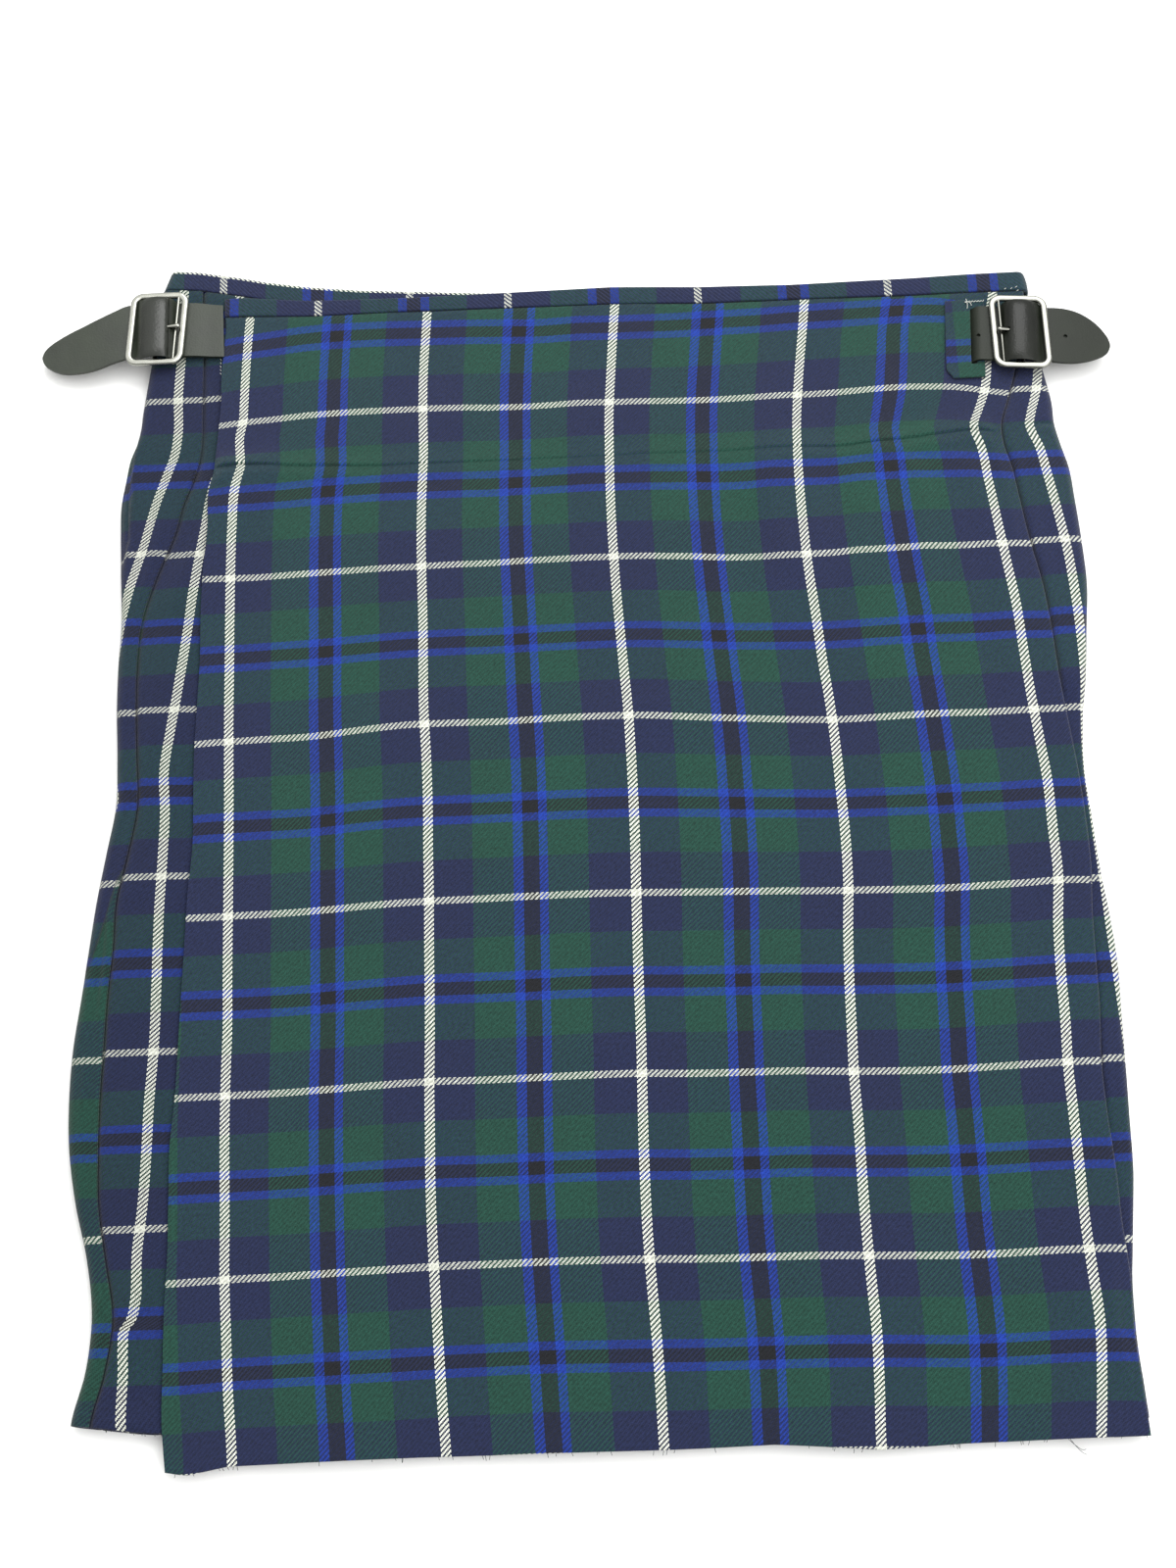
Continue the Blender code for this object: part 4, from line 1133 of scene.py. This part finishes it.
leather, tree, shader = new_material("olive_black_leather")
place = add_node(tree, "TexCoord").outputs["Object"]
skin = place_group(tree, grain, Place=place, Size=900.0)
tone = add_node(tree, "ValToRGB", inputs={"Fac": skin["Cloudy"]})
for k, (at, colour) in enumerate(((0.3, linear(29, 35, 26)), (0.75, linear(44, 51, 39)))):
    tone.color_ramp.elements[k].position = at
    tone.color_ramp.elements[k].color = (*colour, 1)
LEATHER_TONE = tone.outputs["Color"]
rough = add_node(tree, "MapRange", inputs={"Value": skin["Cloudy"], "To Min": 0.46,
                                           "To Max": 0.62})
# Rubbing on the bar has polished and darkened the top of the bend
high = add_node(tree, "SeparateXYZ", inputs={0: place}).outputs["Z"]
rubbed = add_node(tree, "MapRange", inputs={"Value": high, "From Min": 0.0125,
                                            "From Max": 0.0165})
# The strap on the right is darker and less shiny
far = add_node(tree, "SeparateXYZ", inputs={0: place}).outputs["X"]
right_strap_dimming = add_node(tree, "MapRange", inputs={"Value": far, "From Min": -0.1, "From Max": 0.1,
                                           "To Min": 0.92, "To Max": 0.5})
tree.links.new(maths(tree, "MULTIPLY_ADD", right_strap_dimming.outputs[0], 0.5, 0.02),
               shader.inputs["Specular IOR Level"])
tree.links.new(maths(tree, "SUBTRACT", rough.outputs[0],
                     maths(tree, "MULTIPLY", rubbed.outputs[0], 0.22)),
               shader.inputs["Roughness"])
darker = add_node(tree, "VectorMath", operation="SCALE", inputs={
    0: LEATHER_TONE, "Scale": maths(tree, "MULTIPLY", right_strap_dimming.outputs[0], maths(
        tree, "SUBTRACT", 1.0, maths(tree, "MULTIPLY", rubbed.outputs[0], 0.6)))})
tree.links.new(darker.outputs[0], shader.inputs["Base Color"])
link_normal(tree, shader, skin["Height"], 0.00012)
print("leather is ready")

# %% [markdown]
# ## The straps
# A strap is a flat strip whose middle line rises over the bar of its buckle. Each row of
# the table is a place along it: how far out, how high, and how wide. The soft curve through
# the rows gives the hump and the rounded tip.

# %% Straps
BUCKLES = {
    # out, x, y, turn in degrees
    "left": (-1, -225.0, 271.2, 0.0), "right": (1, 230.9, 248.3, -4.0),
}
BUCKLE_BASE = 9.45
HUMP = (
    (-15.6, 2.65, 0, 16), (-9.9, 2.65, 0, 16), (-8.9, 3.3, 0, 16), (-7.7, 5.0, 0, 16),
    (-6.2, 6.8, 0, 16), (-3.6, 8.2, 0, 16), (-1.0, 8.6, 0, 16), (1.0, 8.6, 0, 16),
    (3.8, 8.05, 0, 16), (6.8, 6.7, 0, 16), (9.2, 4.8, 0, 16), (10.7, 3.2, 0, 16),
    (12.0, 2.65, 0, 16), (15.8, 2.65, -0.2, 16),
)
STRAPS = {
    # out, height, middle, half width
    "left": ((-34.8, 1.3, -1.0, 15.6), (-28, 1.7, -0.6, 15.8), (-20.5, 2.5, -0.1, 16)) + HUMP + (
        (23, 2.3, -2.6, 15.6), (32, 1.5, -6.2, 15.0), (40, 0.5, -8.6, 13.8),
        (47, -0.5, -10.0, 12.2), (53, -1.3, -10.8, 9.8), (57, -1.9, -10.9, 7.4),
        (59.8, -2.3, -10.9, 4.8), (61.2, -2.45, -10.9, 2.6), (61.8, -2.5, -10.9, 0.6)),
    "right": ((-32.9, -2.1, 0, 16), (-25.6, -1.95, 0, 16), (-24.2, -1.1, 0, 16),
              (-23.4, 0.8, 0, 16), (-22.5, 1.9, 0, 16), (-21.4, 2.45, 0, 16), (-18, 2.7, 0, 16))
    + HUMP + (
        (19, 2.5, -0.3, 16.2), (25, 2.1, -0.6, 16.0), (31, 1.5, -1.0, 14.9),
        (37, 0.9, -1.8, 12.4), (41.5, 0.5, -2.7, 9.5), (45, 0.2, -3.8, 6.2),
        (46.8, 0.1, -4.4, 3.6), (47.7, 0.0, -4.7, 0.8)),
}
# Where the slanted end of the left strap starts, and the punched holes, out and across
STRAP_SLANT = {"left": 0.5, "right": 0.0}
HOLES = {"left": (), "right": ((-21.8, -1.6), (24.0, -0.9))}


def buckle_place(side, out, across, high):
    """A buckle's own directions as places seen from above, in mm."""
    way, x0, y0, turn = BUCKLES[side]
    c, s = math.cos(deg(turn)), math.sin(deg(turn))
    dx = np.asarray(out) * way
    return np.stack(np.broadcast_arrays(x0 + dx * c - across * s, y0 + dx * s + across * c,
                                        BUCKLE_BASE + high), -1)


for side in BUCKLES:
    table = np.array(STRAPS[side], float)
    last = table[-1, 0]
    outs = np.unique(np.concatenate([np.linspace(table[0, 0], last, 70),
                                     np.linspace(-9, 9, 26),
                                     last - np.linspace(0, 1, 10) ** 2 * 8]))
    high, middle, width = (smooth(table[:, 0], table[:, k], outs) for k in (1, 2, 3))
    shares = np.sin(np.linspace(-math.pi / 2, math.pi / 2, 41))
    grid_out = outs[None, :] + STRAP_SLANT[side] * shares[:, None] \
        * ease((-24 - outs[None, :]) / 8)
    hump = ease((11.5 - np.abs(outs[None, :] - 0.5)) / 4)
    grid_across = middle[None, :] + (width[None, :] + 1.6 * hump) * shares[:, None]
    droop = -1.3 * hump * np.abs(shares[:, None]) ** 7 * ease((high[None, :] - 3) / 4)
    sag = 0.25 * uneven(grid_out, grid_across, 12, 30 + len(side))
    grid_high = high[None, :] + np.maximum(sag, -0.05) * ease((outs[None, :] - 17) / 12) + droop
    points = buckle_place(side, grid_out, grid_across, grid_high)
    centre = (np.abs(outs[:-1] + np.diff(outs) / 2 + 6.7) < 1.3)
    doomed = [r * (len(outs) - 1) + c for r in (19, 20) for c in np.nonzero(centre)[0]]
    strap = lay_grid(side + "_strap_leather", points, (grid_out, grid_across), 1.8, leather,
                     doomed, rim=0.4)
    for out, across in HOLES[side]:
        where = buckle_place(side, out, across, float(np.interp(out, outs, high)) + 2.6)
        start_clean()
        bpy.ops.mesh.primitive_cylinder_add(vertices=20, radius=0.0011, depth=0.006,
                                            location=(where + MOVED) * MM)
        punch = bpy.context.object
        cut = strap.modifiers.new("hole", "BOOLEAN")
        cut.operation, cut.solver, cut.object = "DIFFERENCE", "EXACT", punch
        apply_modifiers(strap)
        bpy.data.objects.remove(punch)
    bpy.ops.object.shade_smooth_by_angle(angle=deg(50))
    finish_piece(strap, "leather", side + "_strap")
for name in ("left_chape", "right_chape"):
    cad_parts[name].data.materials.clear()
    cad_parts[name].data.materials.append(leather)

# %% [markdown]
# ## The buckles
# Each buckle is a polished steel frame. It starts as a cube, its corners are bevelled, its
# faces are inset and bridged to open the window, and a last bevel rounds the bar. That is
# how one would do it by hand, and it keeps the frame an even loop all the way round.

# %% Polished steel
steel, tree, shader = new_material("polished_buckle_steel")
place = add_node(tree, "TexCoord").outputs["Object"]
rubbed = add_node(tree, "TexNoise", inputs={"Vector": place, "Scale": 180.0, "Detail": 5.0})
smear = add_node(tree, "MapRange", inputs={"Value": rubbed.outputs["Fac"], "To Min": 0.1,
                                           "To Max": 0.22})
tone = add_node(tree, "MapRange", inputs={"Value": rubbed.outputs["Fac"], "To Min": 0.3,
                                          "To Max": 0.4})
# The buckle on the right is duller
side = add_node(tree, "MapRange", inputs={
    "Value": add_node(tree, "SeparateXYZ", inputs={0: place}).outputs["X"],
    "From Min": -0.1, "From Max": 0.1, "To Min": 1.0, "To Max": 0.62})
grey = maths(tree, "MULTIPLY", tone.outputs[0], side.outputs[0])
colour = add_node(tree, "CombineColor", inputs={
    "Red": maths(tree, "MULTIPLY", grey, 0.99), "Green": grey,
    "Blue": maths(tree, "MULTIPLY", grey, 0.9)})
tree.links.new(colour.outputs[0], shader.inputs["Base Color"])
tree.links.new(smear.outputs[0], shader.inputs["Roughness"])
shader.inputs["Metallic"].default_value = 1.0


# %% Buckle frames
FRAME_LONG, FRAME_WIDE, FRAME_BAR, FRAME_HIGH = 43.6, 30.8, 3.5, 2.4
FRAME_SHEAR = {"left": 0.07, "right": -0.06}
FRAME_MID, BAR_MID = BUCKLE_BASE + 5.1, BUCKLE_BASE + 4.2


def bar_between(side, out, mid, radius, tall):
    """A rod along the buckle, its ends inside the frame."""
    start_clean()
    bpy.ops.mesh.primitive_cylinder_add(vertices=24, radius=radius * MM,
                                        depth=(FRAME_LONG - FRAME_BAR) * MM,
                                        rotation=(deg(90), 0, 0))
    rod = bpy.context.object
    bpy.ops.object.transform_apply(location=False, rotation=True, scale=False)
    for vertex in rod.data.vertices:
        vertex.co.x += out * BUCKLES[side][0] * MM
        vertex.co.z = vertex.co.z * tall + (mid - FRAME_MID) * MM
    return rod


for side, (way, x0, y0, turn) in BUCKLES.items():
    start_clean()
    bpy.ops.mesh.primitive_cube_add(size=MM)
    ring = bpy.context.object
    ring.name = ring.data.name = side + "_buckle_frame"
    ring.scale = (FRAME_WIDE, FRAME_LONG, FRAME_HIGH)
    bpy.ops.object.transform_apply(location=False, rotation=False, scale=True)
    bpy.ops.object.mode_set(mode="EDIT")
    select_where(ring, "EDGE", lambda e: abs((e.verts[0].co - e.verts[1].co).z) > MM)
    bpy.ops.mesh.bevel(offset=0.0066, segments=14, profile=0.5)
    select_where(ring, "FACE", lambda f: abs(f.normal.z) > 0.9)
    bpy.ops.mesh.inset(thickness=FRAME_BAR * MM, use_individual=True)
    select_where(ring, "FACE", lambda f: abs(f.normal.z) > 0.9 and len(f.verts) > 8)
    bpy.ops.mesh.bridge_edge_loops()
    select_where(ring, "EDGE", lambda e: e.calc_face_angle(0) > 1.2)
    bpy.ops.mesh.bevel(offset=0.00112, segments=6, profile=0.5)
    bpy.ops.object.mode_set(mode="OBJECT")
    for rod in (bar_between(side, 0.0, BAR_MID, 1.2, 1.0),
                bar_between(side, -10.0, FRAME_MID, 0.75, 1.3)):
        join = ring.modifiers.new("join", "BOOLEAN")
        join.operation, join.solver, join.object = "UNION", "EXACT", rod
        apply_modifiers(ring)
        bpy.data.objects.remove(rod)
    ring.data.materials.clear()
    ring.data.materials.append(steel)
    # Years of pull have leaned the frame a little
    for vertex in ring.data.vertices:
        vertex.co.x += vertex.co.y * FRAME_SHEAR[side]
    pick_alone(ring)
    ring.location = ((np.array([x0, y0, FRAME_MID]) + MOVED) * MM).tolist()
    ring.rotation_euler = (0, 0, deg(turn))
    bpy.ops.object.transform_apply(location=True, rotation=True, scale=True)
    bpy.ops.object.shade_smooth_by_angle(angle=deg(40))
    finish_piece(ring, "buckle_steel", side + "_buckle")
    print(ring.name, "has", len(ring.data.polygons), "faces")

# %% [markdown]
# ## The tongues
# A tongue is a bent wire: it hooks round the bar, comes up through the strap and rests on
# the frame's thin inner bar, so only its rounded tip shows. A curve with a round bevel
# draws the wire, a mesh is made of it, and its tip is left a little thicker.

# %% Tongues
def new_wire(name):
    """An empty curve object."""
    start_clean()
    bpy.ops.curve.primitive_nurbs_path_add()
    wire = bpy.context.object
    wire.name = wire.data.name = name
    wire.data.splines.clear()
    return wire


def wire_mesh(wire, radius, rounds, material):
    """A mesh round the curve; the radius is in mm."""
    wire.data.bevel_depth, wire.data.bevel_resolution = radius * MM, rounds
    wire.data.use_fill_caps = True
    bpy.ops.object.convert(target="MESH")
    wire = bpy.context.object
    wire.data.materials.clear()
    wire.data.materials.append(material)
    return wire


for side in BUCKLES:
    turned = np.radians([-60, -95, -130, -165, 160, 125, 90])
    path = [(-2.25 * math.cos(a), 4.2 + 2.25 * math.sin(a)) for a in turned]
    path += [(-2.0, 6.5), (-5.0, 6.85), (-9.0, 7.28), (-11.4, 7.42), (-12.1, 7.35)]
    places = np.array([buckle_place(side, u, 0.0, h) for u, h in path])
    wire = new_wire(side + "_tongue_wire")
    spline = wire.data.splines.new("NURBS")
    spline.points.add(len(places) - 1)
    for k, (point, co) in enumerate(zip(spline.points, (places + MOVED) * MM)):
        point.co = (*co, 1)
        point.radius = 1.0 if k < len(places) - 3 else (1.4, 2.0, 1.4)[k - len(places) + 3]
    spline.use_endpoint_u, spline.order_u = True, 3
    spline.resolution_u = 6
    wire = wire_mesh(wire, 0.72, 5, steel)
    bpy.ops.object.shade_smooth_by_angle(angle=deg(50))
    finish_piece(wire, "buckle_steel", side + "_tongue")

# %% [markdown]
# ## Threads
# A used kilt shows its sewing: a raw white end along the top of the patch, a few white
# stitches on the band and at the apron's edge, and short fibres at the hems. Each strand is
# a curve with a round bevel, and all the strands of one kind become one mesh.

# %% White threads and dark fibres
thread_white, tree, shader = new_material("white_thread")
shader.inputs["Base Color"].default_value = (0.52, 0.53, 0.49, 1)
shader.inputs["Roughness"].default_value = 0.8
thread_dark, tree, shader = new_material("dark_fibre")
shader.inputs["Base Color"].default_value = (0.012, 0.022, 0.022, 1)
shader.inputs["Roughness"].default_value = 0.9


def draw_threads(name, strands, radius, material):
    """strands: each a list of places in mm, seen from above, with their height."""
    wire = new_wire(name)
    for places in strands:
        spline = wire.data.splines.new("NURBS")
        spline.points.add(len(places) - 1)
        for point, place in zip(spline.points, places):
            point.co = (*((np.array(place) + MOVED) * MM), 1)
        spline.use_endpoint_u, spline.order_u, spline.resolution_u = True, min(3, len(places)), 3
    wire = wire_mesh(wire, radius, 1, material)
    finish_piece(wire, "wool")
    print(name, "has", len(wire.data.polygons), "faces in", len(strands), "strands")


def on_apron(x, y, lift=0.3):
    return (x, y, float(apron_top(np.array([x]), y)[0]) + lift)


stitches = [[on_apron(204.4 + 0.75 * k, 269.6 + (0.8 if k % 2 else -0.5), 2.3)
             for k in range(14)],
            [on_apron(204.8, 271.6, 2.2), on_apron(205.6, 268.0, 2.6),
             on_apron(204.9, 265.6, 2.2)],
            [on_apron(203.9, 269.6, 2.2), on_apron(206.6, 270.6, 2.7),
             on_apron(207.4, 267.4, 2.2)]]
for x, y in ((229.7, 277.5), (232.3, 278.2), (232.9, 276.0), (226.4, 277.4)):
    stitches.append([on_apron(x - 0.5, y - 0.3, 1.15), on_apron(x + 0.5, y + 0.4, 1.15)])
for y in (254.0, 251.9, 249.8, 247.7, 245.6):
    stitches.append([(-191.9, y + 0.6, 9.2), (-191.5, y - 0.5, 9.25)])
stitches.append([(25.0, 289.6, 7.6), (25.8, 291.4, 8.0), (28.0, 292.4, 7.6), (28.8, 290.4, 7.2)])
draw_threads("white_stitches", stitches, 0.16, thread_white)

rng = np.random.default_rng(5)
fibres = [[(193.0, -313.0, 7.0), (199.0, -318.5, 5.6), (203.5, -322.0, 3.6),
           (205.0, -321.0, 3.0)],
          [(197.0, -315.5, 6.6), (202.0, -322.6, 4.0), (205.2, -323.4, 2.6)]]
for x in np.sort(rng.uniform(-205, 232, 46)):
    y = float(read(ENDS_COLUMNS, APRON_ENDS, "hem", x))
    z = float(apron_top(np.array([x]), -313)[0])
    run, lean = rng.uniform(0.7, 2.2), rng.uniform(-0.8, 0.8)
    fibres.append([(x, y + 0.6, z - 0.5), (x + lean * 0.5, y - run * 0.6, z - 0.6),
                   (x + lean, y - run, z - 1.2)])
for x in np.sort(rng.uniform(-250, -212, 10)):
    y = float(read(ENDS_COLUMNS, UNDER_ENDS, "hem", x))
    run, lean = rng.uniform(0.7, 1.8), rng.uniform(-0.8, 0.8)
    fibres.append([(x, y + 0.6, 7.8), (x + lean * 0.5, y - run * 0.6, 7.6),
                   (x + lean, y - run, 7.0)])
draw_threads("hem_fibres", fibres, 0.11, thread_dark)

# %% [markdown]
# ## Cut sizes
# Each new piece of cloth prints its area beside the size it was cut to.

def area_of(piece):
    return sum(p.area for p in piece.data.polygons) / 2


for piece, flat, rests, area in (
    (over_apron, (0.450, 0.594), ["under_apron_cloth"], None),
    (left_pleat, (0.088, 0.594), ["back_pleats_cloth"], None),
    (back, (0.955, 0.590), ["floor"], None),
    (right_pleat, (0.092, 0.588), ["back_pleats_cloth"], None),
    (under_apron, (0.438, 0.588), ["back_pleats_cloth"], None),
    (waistband, (1.36, 0.0108), ["over_apron_cloth"], None),
    (patch, (0.0248, 0.0469), ["over_apron_cloth"], 0.00088),
):
    print(piece.name, "cloth area", round(area_of(piece), 5), "cut", round(flat[0] * flat[1], 5))

# %% [markdown]
# ## Floor and light
# The kilt lies on white paper in soft daylight that comes from beyond the waist. A large
# area light does that, and a pale world fills the shadows.

# %% Floor
start_clean()
bpy.ops.mesh.primitive_plane_add(size=8, location=(0, 0, -0.0002))
floor = bpy.context.object
floor.name = "floor"
paper, tree, shader = new_material("white_paper")
place = add_node(tree, "TexCoord").outputs["Object"]
fibre = add_node(tree, "TexNoise", inputs={"Vector": place, "Scale": 900.0, "Detail": 4.0})
shader.inputs["Base Color"].default_value = (0.90, 0.90, 0.895, 1)
shader.inputs["Roughness"].default_value = 0.7
link_normal(tree, shader, fibre.outputs["Fac"], 0.00005)
floor.data.materials.append(paper)

# %% Lights
world = bpy.data.worlds.new("soft_room")
world.use_nodes = True
tree = world.node_tree
toward = add_node(tree, "TexCoord").outputs["Generated"]
apart = add_node(tree, "SeparateXYZ", inputs={0: toward})
# Bright above and beyond the waist, dimmer behind the camera and near the floor
above = add_node(tree, "MapRange", inputs={"Value": apart.outputs["Z"], "From Min": 0.05,
                                           "From Max": 0.75, "To Min": 0.4, "To Max": 1.75})
beyond = add_node(tree, "MapRange", inputs={"Value": apart.outputs["Y"], "From Min": -0.8,
                                            "From Max": 0.25, "To Min": 0.35, "To Max": 1.0})
background = tree.nodes["Background"]
background.inputs["Color"].default_value = (1.0, 1.0, 0.985, 1)
tree.links.new(maths(tree, "MULTIPLY", above.outputs[0], beyond.outputs[0]),
               background.inputs["Strength"])
bpy.context.scene.world = world
LIGHTS = (
    # name, place, aim, size, watts
    ("window", (0.30, 1.15, 1.60), (0, 0, 0), 1.4, 24.0),
    ("room", (1.1, -0.7, 1.8), (0, 0, 0), 2.0, 26.0),
)
for name, where, aim, size, watts in LIGHTS:
    bpy.ops.object.light_add(type="AREA", location=where)
    light = bpy.context.object
    light.name, light.data.size, light.data.energy = name, size, watts
    direction = np.array(where) - np.array(aim)
    flat_reach = math.hypot(direction[0], direction[1])
    light.rotation_euler = (math.atan2(flat_reach, direction[2]), 0,
                            math.atan2(direction[0], -direction[1]))
bpy.context.scene.view_settings.view_transform = "Standard"
bpy.context.scene.cycles.denoising_prefilter = "NONE"
print("lights:", len(LIGHTS))
